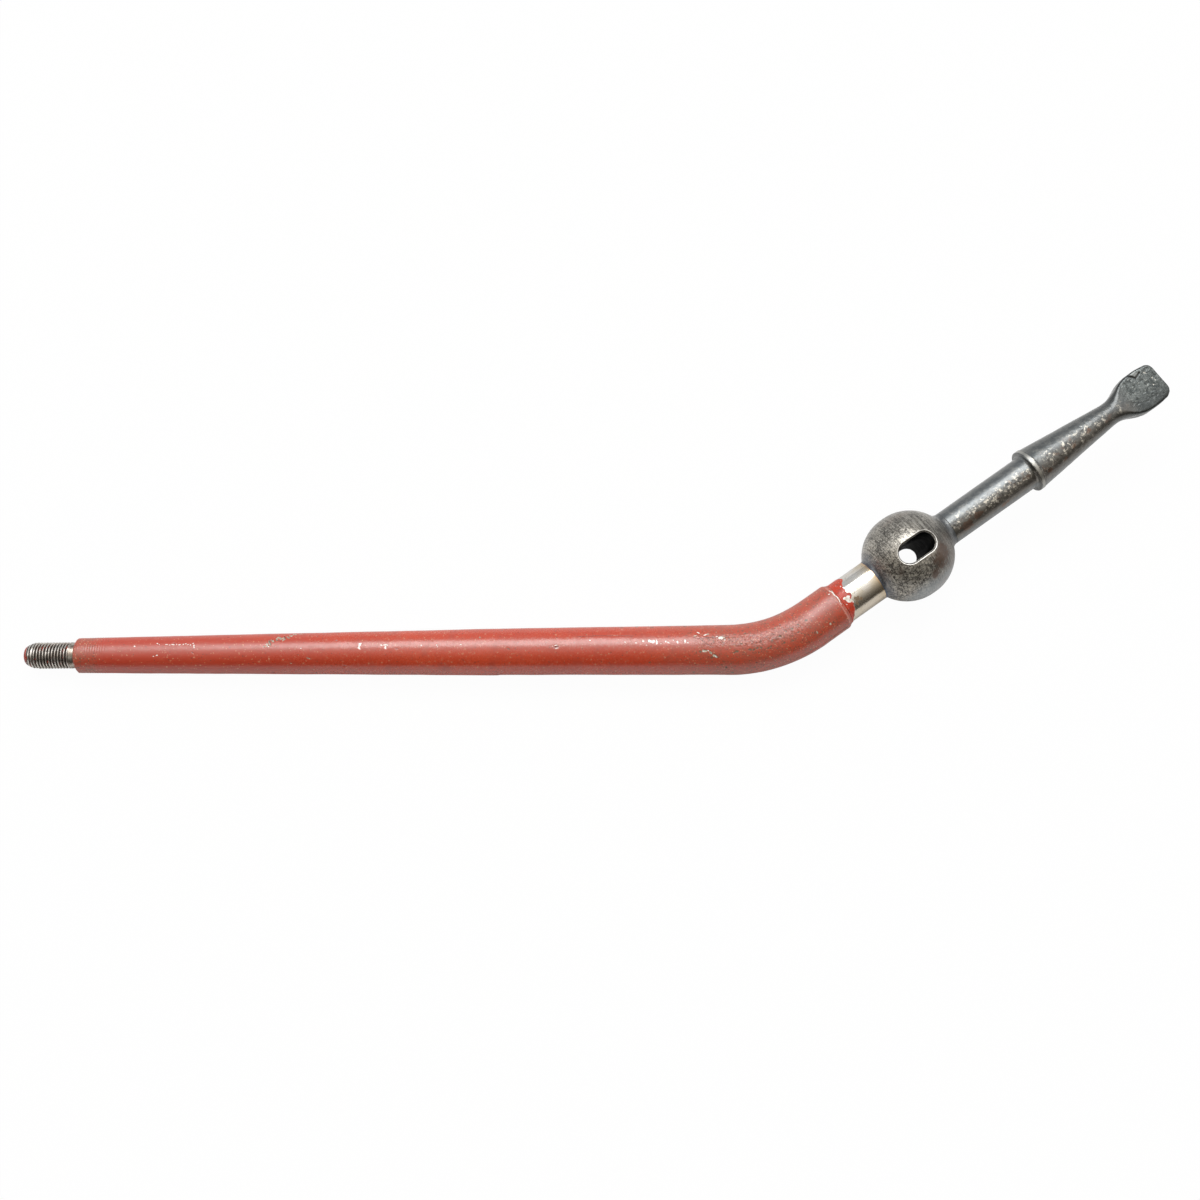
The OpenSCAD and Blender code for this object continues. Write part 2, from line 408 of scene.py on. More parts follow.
armPlan = {
    "thinRadius": 7.25,
    "midRadius": 9.75,
    "rootRadius": 10.5,
    "taperBreak": 100.7,  # from the bend to the change of taper
    "swell": 0.1,  # the bend is this much fatter
    "thinChamfer": (1.0, 1.5),
    "rootBevel": (1.8, 1.0),
    "neckSocket": (6.55, 15.05),
    "studSocket": (4.05, 22.05),
    "turns": 240,
    "crowd": 0.45,
    "facing": 12.0,
    # fineness of the mesh, which changes at these distances from the thick end
    "zones": [(97.0, 0.4), (225.0, 0.2), (250.0, 0.4), (269.0, 0.2), (303.0, 0.3), (311.0, 0.18)],
    "chipDepth": 0.10,
    "nickDepth": 0.16,
    "lapDepth": 0.1,
    "pitDepth": 0.05,
    "toolMarks": (0.03, 1.05),  # height and pitch near the thin end
    "roughBand": (14, 70, 0.45),  # hammered paint: start, end and how strong
    # parting line along the underside and the flash beside the bend: degrees round, height, half width
    "ridge": (-92, 0.22, 0.9),
    "flash": (-69, 0.3, 0.5),
    "ridgeStart": 148,
    "flashEnd": 34,
    # bright chips, many on the line of the softbox highlight, whose white is partly real chipping and
    # partly painted highlight for the glints there and on the nick's lips: distance from the thick end,
    # degrees round, length, width and the slant of some
    "bright": [
        (300.6, 21, 0.6, 0.45), (291.2, 30, 0.5, 0.4, 20), (290.4, 26, 0.5, 0.3), (287.2, 26, 0.9, 0.3),
        (285.9, 24, 0.5, 0.3), (284.6, 25, 1.3, 0.35, 10), (283.0, 26, 0.4, 0.4),
        (281.6, 24, 1.0, 0.4, -10), (280.2, 25, 0.5, 0.5), (279.2, 27, 0.7, 0.4), (278.2, 24, 0.4, 0.4),
        (277.2, 23, 0.8, 0.45), (276.1, 28, 0.5, 0.4), (275.6, 20, 0.5, 0.7), (275.4, 14, 0.4, 0.5),
        (291.0, -9, 0.7, 0.5), (292.4, -12, 0.5, 0.3), (230.6, 8, 0.5, 0.4), (206.0, 15, 1.0, 1.6, 10),
        (206.3, 7, 0.7, 1.4, -20), (205.4, 19, 0.5, 0.4), (197.0, 14, 0.9, 0.7), (195.1, 14, 1.7, 0.7),
        (195.2, 8, 0.8, 1.7), (193.4, 15, 0.5, 0.4), (180.2, 12, 0.5, 0.7), (173.8, 12, 0.5, 0.5),
        (173.5, 8, 0.4, 0.5), (163.8, 13, 0.6, 0.5), (124.4, 7.5, 2.2, 0.22, -12),
        (123.7, 0.5, 1.9, 0.22, -12), (110.1, 19, 0.6, 0.6), (103.6, 35, 0.7, 0.3), (95.6, 14, 0.8, 0.5),
        (93.4, 16, 0.4, 0.4), (90.9, 12, 0.5, 0.7), (87.9, 15, 1.1, 0.9), (85.2, 16, 1.7, 1.1),
        (83.8, 14, 1.6, 1.3, -20), (82.4, 13, 0.8, 1.9), (78.7, 15, 0.9, 0.7), (77.5, 12, 1.1, 0.6, 40),
        (73.7, 13, 0.6, 1.2), (70.5, 15, 0.8, 1.6), (69.4, 11, 0.5, 0.5), (64.9, 37, 1.7, 0.6, 30),
        (62.1, 30, 1.2, 0.5, -30), (55.7, 21, 2.3, 1.0, 10), (57.3, 25, 0.9, 0.5), (54.0, 17, 0.7, 0.5),
        (62.9, -9, 0.9, 0.4), (61.0, -8, 0.6, 0.3, 30), (58.0, -22, 0.9, 0.5, 40), (88.9, 9, 0.4, 0.3),
        (80.6, 9, 0.5, 0.3), (86.6, 6, 0.4, 0.3), (75.4, 17, 0.4, 0.4), (72.2, 16, 0.4, 0.3),
        (93.0, 10, 0.4, 0.3), (244.2, 14, 0.5, 0.4), (245.6, 19, 0.4, 0.3), (2.6, 32, 0.7, 0.6),
    ],
    # patches where a pale grey or yellowish older coat shows
    "older": [
        (244.9, 19, 1.3, 0.7, 60), (243.9, 25, 2.2, 0.7, 70), (242.8, 32, 2.0, 0.8, 40),
        (241.3, 39, 1.9, 0.7, 80), (240.4, 45, 2.3, 0.9, 30), (239.0, 41, 2.0, 0.7, -30),
        (238.2, 36, 1.7, 0.7, -50), (236.6, 45, 1.9, 0.8, 40), (235.4, 53, 1.8, 0.8, 10),
        (234.0, 61, 2.0, 0.8), (231.8, 67, 1.2, 0.6), (246.2, 14, 0.8, 0.6), (156.0, 32, 0.4, 0.8),
        (66.2, 28, 1.5, 0.5, -20), (61.2, 32, 1.0, 0.5), (57.4, 38, 0.7, 0.4), (62.6, -9, 1.9, 0.9),
        (55.4, 22, 2.8, 1.3), (60.1, -13, 1.4, 0.8, 42), (58.2, -21, 1.9, 1.0, 42), (235.0, -36, 0.7, 0.4),
        (227.4, -21, 1.3, 0.35, 20), (9.6, -28, 0.7, 0.9), (16.1, -26, 0.4, 1.6, 6), (0.9, 39, 1.2, 0.8),
        (63.4, 80, 1.6, 0.5), (47.2, 78, 1.4, 0.4),
    ],
    # dark olive spots
    "olive": [
        (50.2, -13, 0.8, 0.7), (49.0, -11, 1.1, 0.9), (43.8, -9, 1.0, 0.8), (42.3, -11, 1.0, 0.9),
        (40.9, -8, 0.9, 0.8), (39.4, -9, 1.0, 0.8), (36.6, -14, 1.0, 0.8), (35.4, -12, 0.7, 0.6),
        (34.2, 1, 0.9, 0.7), (30.4, 4, 1.2, 0.7, 10), (27.3, 9, 1.0, 0.9), (24.4, 10, 1.2, 0.8),
        (21.3, 12, 1.0, 0.8), (17.4, 11, 1.2, 0.8), (29.6, -13, 0.9, 0.6), (26.2, -16, 0.8, 0.6),
        (33.0, -20, 0.7, 0.5), (53.5, -51, 0.9, 0.8), (85.3, -36, 0.8, 0.6), (144.0, 0, 1.2, 0.5, 30),
        (131.2, -2, 0.6, 0.4), (101.4, -10, 0.7, 0.5), (59.6, -24, 1.0, 0.7), (64.2, -10, 0.8, 0.7),
        (56.0, 79, 1.3, 0.7), (39.4, 76, 1.2, 0.6), (51.4, 81, 1.0, 0.6), (45.0, 30, 0.7, 0.5),
        (19.6, -20, 0.8, 0.6), (22.8, -4, 0.9, 0.6), (47.0, 6, 0.7, 0.5), (31.2, 27, 0.8, 0.6),
        (97.0, 66, 1.2, 1.0), (90.4, 70, 1.0, 1.2), (84.0, 64, 1.4, 0.9, 10), (76.8, 72, 1.2, 1.2),
        (70.2, 68, 1.5, 1.0), (33.6, 64, 1.3, 1.0), (26.0, 70, 1.4, 1.2), (14.2, 60, 1.1, 0.9),
        (66.8, -68, 1.2, 0.9), (50.6, -70, 1.4, 1.0), (36.0, -66, 1.0, 1.0), (20.8, -62, 1.2, 0.8),
    ],
    # small dark nicks
    "nicks": [
        (124.0, 4, 2.4, 0.55, -12), (268.4, 84, 1.4, 0.8), (308.4, 86, 2.2, 0.8), (289.4, 84, 1.2, 0.8),
        (250.9, -33, 0.5, 0.4), (243.6, -76, 1.4, 0.8), (225.4, -80, 1.2, 0.8), (149.4, -84, 1.4, 0.9),
        (190.6, 4, 0.8, 0.35, 30), (276.0, -2, 0.8, 0.3, 40), (101.4, -12, 0.5, 0.4), (284.0, 30, 0.9, 0.3),
        (146.6, 84, 1.3, 0.8), (36.6, 66, 1.0, 0.6), (28.4, 30, 0.8, 0.5), (262.0, 52, 0.9, 0.3, 20),
        (21.2, 41, 0.7, 0.5), (53.4, -50, 0.6, 0.5), (244.0, 29, 2.6, 0.3, 70), (238.0, 46, 2.2, 0.3, 60),
        (240.0, 33, 1.8, 0.3, 20), (216.0, 30, 0.9, 0.3, 20), (212.6, -44, 0.7, 0.4),
        (172.0, -38, 0.6, 0.4),
    ],
    # hair cracks in the paint: points along each line, then its width
    "cracks": [
        ([(67.0, 24), (64.4, 20), (61.8, 8), (59.3, -1)], 0.2),
        ([(64.4, 20), (60.2, 24), (56.8, 21)], 0.16),
        ([(115.6, 30), (106.0, 32), (92.0, 30)], 0.14),
    ],
    # the white line where the paint has lifted off the thick end, with its width at both ends
    "lap": [(1.3, 41), (0.9, 36), (0.8, 30), (1.1, 22), (0.7, 16), (0.8, 7), (1.2, 0), (1.1, -5)],
    "lapWidth": (0.6, 0.3),
    "dull": (98.0, 46.0, 13.0),  # dirtier paint: from here, in full from here, and this near the thin end
}


def armRadius(plan, run):
    places = [bendEnd, bendEnd + plan["taperBreak"], armLength - plan["thinChamfer"][0]]
    return np.interp(run, places, [plan["rootRadius"], plan["midRadius"], plan["thinRadius"]])


def armOutline(plan):
    bevelLong, bevelDeep = plan["rootBevel"]
    chamferLong, chamferDeep = plan["thinChamfer"]
    neckHole, neckDepth = plan["neckSocket"]
    studHole, studDepth = plan["studSocket"]
    return outlinePoints([
        (neckDepth, 0, 0, 3.0), (neckDepth, neckHole, 0, 3.0), (0, neckHole, 0, 0.6),
        (0, plan["rootRadius"] - bevelDeep, 0.5, 0.2), (bevelLong, plan["rootRadius"], 0.5, 0.2),
        *((reach, float(armRadius(plan, reach)), 0, step) for reach, step in plan["zones"]),
        (armLength - chamferLong, plan["thinRadius"], 0.3, 0.18),
        (armLength, plan["thinRadius"] - chamferDeep, 0.25, 0.3), (armLength, studHole, 0, 3.0),
        (armLength - studDepth, studHole, 0, 3.0), (armLength - studDepth, 0, 0, 3.0),
    ])


def makeArm(plan):
    outline = armOutline(plan)
    run, radius = outline[:, 0], outline[:, 1].copy()
    outer = radius > plan["neckSocket"][0] + 0.5
    middle = outer & (run > lever["stub"]) & (run < armLength - 2.0)
    radius[middle] = np.mean([armRadius(plan, run[middle] + k) for k in (-9, -5, -1, 1, 5, 9)], axis=0)
    swell = plan["swell"] * ease((run - lever["stub"] + 6) / 14) * ease((bendEnd + 10 - run) / 20)
    radius[outer] += swell[outer]
    outline = np.stack([run, radius], -1)
    rings, turn = turnedRings(outline, plan["turns"], armAxis, plan["crowd"], plan["facing"])
    seen = outer[:, None].astype(float)
    s, r = run[:, None], radius[:, None]
    degrees = np.degrees(turn)
    wobble = uneven(rings, 0.6, 3, 3) * 1.9
    kinds = ("bright", "older", "olive")
    bright, older, olive = (markCover(s, turn, r, plan[kind], wobble) for kind in kinds)
    nick = markCover(s, turn, r, plan["nicks"], wobble * 0.6)
    crack = np.zeros_like(bright)
    for path, width in plan["cracks"]:
        crack = np.maximum(crack, crackCover(s, turn, r, path, width + 0.1, wobble * 0.5))
    wide, narrow = plan["lapWidth"]
    lapWidth = narrow + (wide - narrow) * ease((degrees + 14) / 50) * ease((50 - degrees) / 12)
    lap = crackCover(s, turn, r, plan["lap"], np.maximum(lapWidth, 0.12), wobble * 0.8)
    roughStart, roughEnd, roughness = plan["roughBand"]
    roughZone = ease((s - roughStart) / 6) * ease((roughEnd - s) / 10)
    roughZone = roughZone * peak(wrap(turn - np.radians(9 + 8 * ease((s - 40) / 12))), 0.5)
    hammered = uneven(rings, 1.1, 3, 21) * roughZone
    # painted highlight: a pale line along the thick end's edge, where it catches the light
    endHighlight = peak(s - 1.7 - 0.3 * (lumps(rings, 2.0, 13) - 0.5), 0.3)
    endHighlight = endHighlight * ease((degrees + 80) / 20) * ease((62 - degrees) / 12)
    lines = (plan["ridge"], plan["flash"])
    ridge, flash = (high * peak(r * offSide(turn, at), half) for at, high, half in lines)
    ridge = ridge * ease((s - plan["ridgeStart"]) / 1.5)
    flash = flash * ease((s - 2) / 2) * ease((plan["flashEnd"] - s) / 4) * (0.4 + lumps(rings, 2.0, 9))
    fromEnd = armLength - s
    toolHigh, toolPitch = plan["toolMarks"]
    machined = toolHigh * np.cos(s * 2 * math.pi / toolPitch)
    machined = machined * ease((16 - fromEnd) / 4) * ease((fromEnd - 4) / 2)
    groove = -0.07 * peak(s - 0.6 - 0.5 * lumps(rings, 3.0, 11), 0.5) * (s < 3)
    relief = uneven(rings, 16, 3, 5) * 0.22 + uneven(rings, 1.2, 2, 8) * 0.03
    relief = relief + ridge + flash + machined * (fromEnd > 1.4) + groove + hammered * roughness
    chipped = np.maximum(np.maximum(bright, older * 0.8), np.maximum(crack, olive) * 0.5)
    relief = relief - plan["chipDepth"] * chipped
    relief = relief - plan["nickDepth"] * nick - plan["lapDepth"] * lap
    relief = relief - plan["pitDepth"] * pits(rings, 1.1, 31, 0.3) * (0.3 + roughZone)
    thick, reach, thin = plan["dull"]
    dull = np.maximum(ease((thick - s) / (thick - reach)), ease((thin - fromEnd) / 5))
    fields = {
        "bright": bright, "older": older, "nick": np.maximum(nick, crack), "lap": lap, "coarse": roughZone,
        # the band along the line of the softbox highlight, used for a painted highlight tone
        "dull": dull, "olive": olive, "highlightTone": peak(offSide(turn, 13), 0.42), "endHighlight": endHighlight,
        "slender": ease((s - 190) / 100),
    }
    return closedRings("handle_arm_paint", raised(rings, relief * seen, -1), -1, fields)


def paintFinish(name):
    paint = Finish(name)
    broad = paint.grain(22, 2)
    cloud = paint.grain(5, 4, 0.6)
    dust = paint.grain(1.1, 4, 0.7)
    fine = paint.grain(0.45, 3, 0.7)
    paint.colour = paint.mix(broad.between(0.35, 0.65), (0.5, 0.044, 0.011), (0.55, 0.053, 0.013))
    paint.over(cloud.between(0.5, 0.75), (0.44, 0.04, 0.011))
    slender = paint.field("slender")
    paint.over(slender * 0.6, (0.44, 0.028, 0.006))
    paint.over(dust.between(0.54, 0.7) * 0.4, (0.52, 0.12, 0.045))
    dull = paint.field("dull")
    dirt = cloud.between(0.34, 0.6, 0.35, 0.85) * dull
    paint.over(dirt, (0.405, 0.066, 0.03))
    mould = paint.grain(0.8, 4, 0.75).between(0.55, 0.61) * dull
    paint.over(mould * 0.8, (0.15, 0.078, 0.04))
    dots = paint.flecks(1.0, 0.3, 0.45, 0.8) * dull
    paint.over(dots * 0.9, (0.09, 0.055, 0.03))
    # painted highlight tone: duller red along the line where the softbox highlight lies
    highlightTone = paint.field("highlightTone")
    paint.over(highlightTone * dust.between(0.35, 0.6, 0.25, 0.8), (0.38, 0.062, 0.03))
    tan = paint.flecks(1.5, 0.22, 0.24, 0.8)
    tan = tan.most(paint.flecks(0.9, 0.26, 0.2, 0.8))
    tan = tan.most(paint.flecks(1.1, 0.24, 0.3, 0.9) * dull)
    tan = tan * fine.between(0.35, 0.6, 0.3, 0.95)
    paint.over(tan, (0.66, 0.35, 0.21))
    paint.over(paint.flecks(1.2, 0.24, 0.18, 0.8) * 0.8, (0.16, 0.035, 0.02))
    coarse = paint.field("coarse")
    crackle = paint.grain(1.0, 5, 0.72)
    spotty = crackle.between(0.53, 0.58) * coarse
    paint.over(spotty * 0.8, (0.15, 0.055, 0.03))
    worn = crackle.between(0.45, 0.4) * coarse
    paint.over(worn * 0.5, (0.66, 0.3, 0.22))
    # painted highlight along the thick end's edge
    paint.over(paint.field("endHighlight") * 0.6, (0.72, 0.36, 0.29))
    edge = paint.grain(0.4, 3)
    older = paint.field("older") + edge
    paint.over(older.between(0.66, 0.86) * 0.75, (0.2, 0.045, 0.025))
    olderTint = paint.mix(dust.between(0.4, 0.6), (0.25, 0.22, 0.16), (0.58, 0.52, 0.4))
    paint.over(older.between(0.92, 1.02), olderTint)
    olive = (paint.field("olive") + edge).between(0.92, 1.04)
    paint.over(olive * 0.85, (0.105, 0.085, 0.045))
    # white of the chips, partly painted highlight for glints along the highlight's line and on the nick's
    # lips, and the lifted line at the thick end
    bright = paint.field("bright").most(paint.field("lap")) + edge
    paint.over(bright.between(0.94, 1.02), (0.88, 0.85, 0.79))
    nick = (paint.field("nick") + edge).between(0.9, 1.05)
    paint.over(nick * 0.85, (0.11, 0.016, 0.01))
    rough = cloud.between(0.3, 0.75, 0.23, 0.3) + dust.between(0.45, 0.75) * 0.12
    rough = rough + dull.most(slender) * 0.07 + highlightTone * 0.02
    paint.bump(fine, 0.01)
    paint.bump(paint.grain(1.0, 3, 0.6), 0.012)
    paint.bump(crackle * coarse, 0.18)
    paint.bump(paint.grain(3.2, 2), 0.06)
    paint.lay({"Roughness": rough, "IOR": 1.7, "Specular IOR Level": 0.7})
    return paint


dress(makeArm(armPlan), paintFinish("oxide_red_paint"), "handle_arm")


# Knob stud: helical thread with worn crests, red paint left in the grooves and on the nose

studPlan = {
    "shank": (4.0, 22.0),
    "runOut": (5.35, 2.1),
    "crestRadius": 5.555,
    "threadLength": 15.4,
    "lead": (4.4, 2.7),
    "nose": (3.2, 1.3),
    "pitch": 1.27,  # twenty threads to the inch
    "depth": 0.86,
    "rootShare": 0.22,  # shares of half a pitch that the root and the flank take
    "flankShare": 0.62,
    "turns": 150,
    "step": 0.075,
}


def makeStud(plan):
    shankRadius, shankDepth = plan["shank"]
    plainRadius, plainLength = plan["runOut"]
    leadRadius, leadLength = plan["lead"]
    noseRadius, noseLength = plan["nose"]
    threadEnd = plainLength + plan["threadLength"]
    leadEnd = threadEnd + leadLength
    fine = plan["step"]
    outline = outlinePoints([
        (-shankDepth, 0, 0, 2.0), (-shankDepth, shankRadius, 0.4, 2.0), (0, shankRadius, 0, 0.5),
        (0, plainRadius, 0.1, fine), (plainLength, plan["crestRadius"], 0, fine),
        (threadEnd, plan["crestRadius"], 0.9, fine), (leadEnd, leadRadius, 0.7, fine),
        (leadEnd + noseLength * 0.6, noseRadius + 0.6, 0.35, 0.12),
        (leadEnd + noseLength, noseRadius, 0.3, 0.15), (leadEnd + noseLength, 0, 0, 0.3),
    ])
    run, radius = outline[:, 0], outline[:, 1]
    moved = outline.copy()
    moved[:, 0] += armLength
    rings, turn = turnedRings(moved, plan["turns"], armAxis)
    s, r = run[:, None], radius[:, None]
    phase = ((s / plan["pitch"] + turn / (2 * math.pi)) % 1.0 - 0.5) * 2
    # 1 along the root, 0 on the crest
    groove = 1 - np.clip((np.abs(phase) - plan["rootShare"]) / plan["flankShare"], 0, 1)
    fade = ease((s - plainLength + 0.8) / 1.6) * (s < leadEnd + 0.4)
    root = plan["crestRadius"] - plan["depth"] * groove * fade
    outer = (s > 0.02) & (r > 0.01)
    damage = uneven(rings, 1.4, 2, 44) * 0.10
    damage = damage - 0.14 * pits(rings, 1.5, 52, 0.22) * (groove < 0.4)
    filled = pits(rings, 3.0, 61, 0.36) * groove * 0.24  # old paint and dirt lying in the grooves
    surface = np.minimum(r, root + filled)
    surface = np.where(outer, surface + np.minimum(damage, 0.0) * fade, r)
    surface = np.where(outer & (s < plainLength), r + uneven(rings, 1.1, 2, 71) * 0.06, surface)
    centre, _ = armAxis(moved[:, 0])
    scale = surface / np.maximum(r, 1e-6)
    rings = centre[:, None, :] + (rings - centre[:, None, :]) * scale[..., None]
    fields = {"groove": groove * fade, "nose": ease((s - leadEnd + 1.0) / 1.2),
              "plain": ease((plainLength + 0.6 - s) / 0.9)}
    return closedRings("knob_stud_thread", rings, -1, fields)


def threadFinish(name):
    thread = Finish(name)
    cloud = thread.grain(2.4, 4, 0.6)
    speck = thread.grain(0.8, 3, 0.6)
    patch = thread.grain(4.2, 3, 0.6)
    groove = thread.field("groove")
    metal = thread.mix(cloud.between(0.35, 0.65), (0.82, 0.79, 0.74), (0.54, 0.5, 0.45))
    # darker and less metallic down the thread's grooves
    darkGroove = groove.between(0.3, 0.7) * cloud.between(0.25, 0.5, 0.8, 1.0)
    thread.colour = thread.mix(darkGroove, metal, (0.05, 0.038, 0.032))
    smeared = thread.field("plain") * cloud.between(0.35, 0.55, 0.3, 0.8)
    thread.over(smeared, (0.24, 0.19, 0.15))
    rusty = speck.between(0.56, 0.66) * patch.between(0.48, 0.58)
    thread.over(rusty * 0.8, (0.17, 0.065, 0.035))
    redAt = groove * 0.22 + patch * 0.9
    painted = redAt.between(0.7, 0.76) * speck.between(0.42, 0.5)
    painted = painted.most((thread.field("nose") + cloud).between(1.3, 1.4))
    thread.over(painted, (0.34, 0.034, 0.018))
    covered = painted.most(darkGroove * 0.6)
    thread.bump(thread.grain(0.35, 3), 0.02)
    thread.lay({"Metallic": covered.between(0, 1, 1, 0), "Roughness": cloud.between(0.3, 0.7, 0.2, 0.34)})
    return thread


dress(makeStud(studPlan), threadFinish("bright_thread_steel"), "knob_stud")


# Neck: ground bright, with the arm's paint lapped over one end and heat colours at the ball

neckPlan = {
    "spigotRadius": 6.5,
    "turns": 300,
    "crowd": 0.4,
    "step": 0.12,
    "paintHeight": 0.13,
    # torn edge of the lapped paint: degrees round, and distance from the arm's end
    "tornEdge": [(-180, 2.2), (-140, 3.1), (-105, 0.8), (-75, 0.5), (-52, 1.6), (-40, 2.5), (-27, 3.3),
                 (-18, 3.9), (-10, 3.5), (-4, 4.3), (1, 5.1), (6, 4.9), (12, 3.9), (24, 4.3), (42, 5.0),
                 (50, 6.2), (57, 6.8), (72, 6.0), (100, 4.6), (140, 3.4), (180, 2.2)],
    "holes": [(4.4, 25, 0.8, 1.6, 10), (0.9, -13, 0.5, 0.7), (3.6, 36, 0.5, 0.6), (2.3, 50, 0.4, 0.5)],
    # the pale ragged chip down to the undercoat
    "chip": [(2.6, -3, 2.1, 1.9, 10), (3.4, -11, 1.9, 1.7, 20), (1.7, 3, 1.3, 1.0), (3.9, -17, 1.1, 0.9),
             (2.3, -10, 1.3, 1.0)],
    # brown stain beside it
    "stain": [(6.0, -18, 2.4, 2.2, 20), (5.4, -12, 1.4, 1.2), (7.4, -23, 1.4, 1.6), (5.0, -28, 1.2, 2.0)],
    "scratch": [(7.2, 4), (11.0, 3), (16.2, 5)],
}


def makeNeck(plan):
    radius, spigot, fine = lever["neckRadius"], plan["spigotRadius"], plan["step"]
    endX, floorX = armX - lever["armSeat"], -lever["spigotEnd"]
    outline = outlinePoints([
        (endX, 0, 0, 2.0), (endX, spigot, 0.4, 2.0), (armX, spigot, 0, 0.6),
        (armX, radius, 0.15, fine), (neckX, radius, 0.05, 0.6), (neckX, spigot, 0, 2.0),
        (floorX, spigot, 0.4, 2.0), (floorX, 0, 0, 2.0),
    ])
    x, r = outline[:, 0][:, None], outline[:, 1][:, None]
    rings, turn = turnedRings(outline, plan["turns"], shaftAxis, plan["crowd"])
    degrees, reach = np.array(plan["tornEdge"]).T
    ragged = uneven(rings, 1.3, 4, 12) * 1.7
    edge = np.interp(np.degrees(turn), degrees, reach)[None, :] + ragged
    past = x - armX
    wobble = uneven(rings, 0.8, 3, 15) * 1.6
    kinds = ("holes", "chip", "stain")
    holes, chip, stain = (markCover(past, turn, r, plan[kind], wobble) for kind in kinds)
    paint = np.clip((edge - past) / 0.16, 0, 1) * (1 - holes)
    outer = (r > spigot + 1.2).astype(float)
    relief = plan["paintHeight"] * paint * (0.75 + 0.5 * lumps(rings, 1.1, 18))
    relief = relief + 0.2 * paint * peak(past - 0.15, 0.9) - 0.06 * chip * paint
    scratch = crackCover(past, turn, r, plan["scratch"], 0.2, wobble * 0.3)
    relief = (relief - 0.02 * scratch) * outer
    fields = {"paint": paint, "scratch": scratch, "chip": chip, "stain": stain}
    fields = {name: values * outer for name, values in fields.items()}
    return closedRings("neck_bar_ground", raised(rings, relief, 1), 1, fields)


def neckFinish(name):
    neck = Finish(name)
    x, y = neck.axes()
    cloud = neck.grain(5, 3)
    streak = neck.grain(0.5, 3, 0.6, (0.06, 1.0, 1.0))
    edge = neck.grain(0.4, 3)
    metal = neck.mix(streak.between(0.3, 0.7), (0.74, 0.71, 0.66), (0.86, 0.84, 0.8))
    metal = neck.mix(cloud.between(0.45, 0.7), metal, (0.72, 0.67, 0.58))
    # painted shade: the lower side darker and browner, where the steel reflects the dark room in front,
    # over its straw tarnish
    low = y.within(1.0, -6.0)
    metal = neck.mix(low * 0.7, metal, (0.66, 0.57, 0.44))
    reach = x + neck.grain(3, 2) * (1.6 * mm) - low * (0.8 * mm)
    heat = reach.within(neckX - 6.0, neckX + 1.0)
    neck.colour = neck.mix(heat * 0.85, metal, (0.6, 0.5, 0.35))
    orange = reach.within(neckX - 0.7, neckX + 0.5)
    neck.over(orange * 0.6, (0.6, 0.4, 0.23))
    blue = reach.within(neckX + 0.5, neckX + 1.1)
    neck.over(blue, (0.12, 0.12, 0.2))
    spots = neck.grain(1.0, 3, 0.6).between(0.68, 0.74)
    neck.over(spots * 0.5, (0.16, 0.13, 0.1))
    dots = neck.flecks(1.7, 0.14, 0.35)
    neck.over(dots * 0.7, (0.12, 0.1, 0.08))
    neck.over(neck.field("scratch") * 0.6, (0.92, 0.84, 0.62))
    stained = (neck.field("stain") + edge).between(0.8, 1.3) * 0.85
    neck.over(stained, (0.2, 0.12, 0.055))
    painted = (neck.field("paint") + edge).between(0.88, 1.05)
    smudge = neck.grain(1.6, 3)
    red = neck.mix(smudge.between(0.5, 0.7), (0.52, 0.045, 0.018), (0.3, 0.05, 0.025))
    pale = neck.grain(0.7, 3).between(0.64, 0.7)
    red = neck.mix(pale * 0.7, red, (0.72, 0.46, 0.38))
    chipped = (neck.field("chip") + edge).between(0.85, 1.0)
    chipTint = neck.mix(smudge.between(0.46, 0.62), (0.93, 0.91, 0.86), (0.66, 0.6, 0.48))
    red = neck.mix(chipped, red, chipTint)
    neck.over(painted, red)
    covered = painted.most(stained * 0.7)
    neck.bump(neck.grain(0.3, 3, 0.6, (0.05, 1.0, 1.0)), 0.004)
    rough = streak.between(0.3, 0.7, 0.14, 0.25) + covered * 0.14
    neck.lay({"Metallic": covered.between(0, 1, 1, 0), "Roughness": rough})
    return neck


dress(makeNeck(neckPlan), neckFinish("ground_neck_steel"), "neck_bar")


# Pivot ball: turned ball with two fillets, sockets and a guide slot with a bright bevelled rim

ballPlan = {
    "radius": 19.045,
    "land": 0.6,  # half of the straight band round the middle
    "bite": 0.02,
    "fillets": (2.2, 4.0),  # at the neck, then at the shaft
    "slot": (8.7, 16.6),
    "slotLean": 2.0,  # degrees, with the near mouth towards the shaft
    "rimBevel": 0.75,
    "neckSocket": 6.55,
    "shaftSocket": 4.8,
    "socketX": 10.65,  # from the ball's centre to the sockets' floors
    "rust": [(6.5, -30, 7.5, 9.0, 20), (9.6, -22, 4.0, 5.5), (1.5, -42, 4.0, 4.5)],
    "dentDepth": 0.05,
    "rimDents": 0.08,
    "voxel": 0.24,
}


def ballSide(plan, past, rho, bar, fillet):
    # distance from the turned outline at this far past the land and this far from the axis
    radius = plan["radius"]
    reach = math.sqrt((radius + fillet - plan["bite"]) ** 2 - (bar + fillet) ** 2)
    ball = np.where(past > 0, np.hypot(past, rho), rho) - radius
    hollow = fillet - np.hypot(past - reach, rho - bar - fillet)
    inHollow = (past > 0) & (rho * reach < past * (bar + fillet))
    return np.maximum(np.where(inHollow, np.where(past < reach, hollow, rho - bar), ball), past - reach)


def slotDistance(plan, p):  # above 0 inside the slot
    width, length = plan["slot"]
    along = p[:, 0] - p[:, 2] * math.tan(math.radians(plan["slotLean"]))
    beyond = np.maximum(np.abs(along) - (length - width) / 2, 0)
    return width / 2 - np.hypot(beyond, p[:, 1])


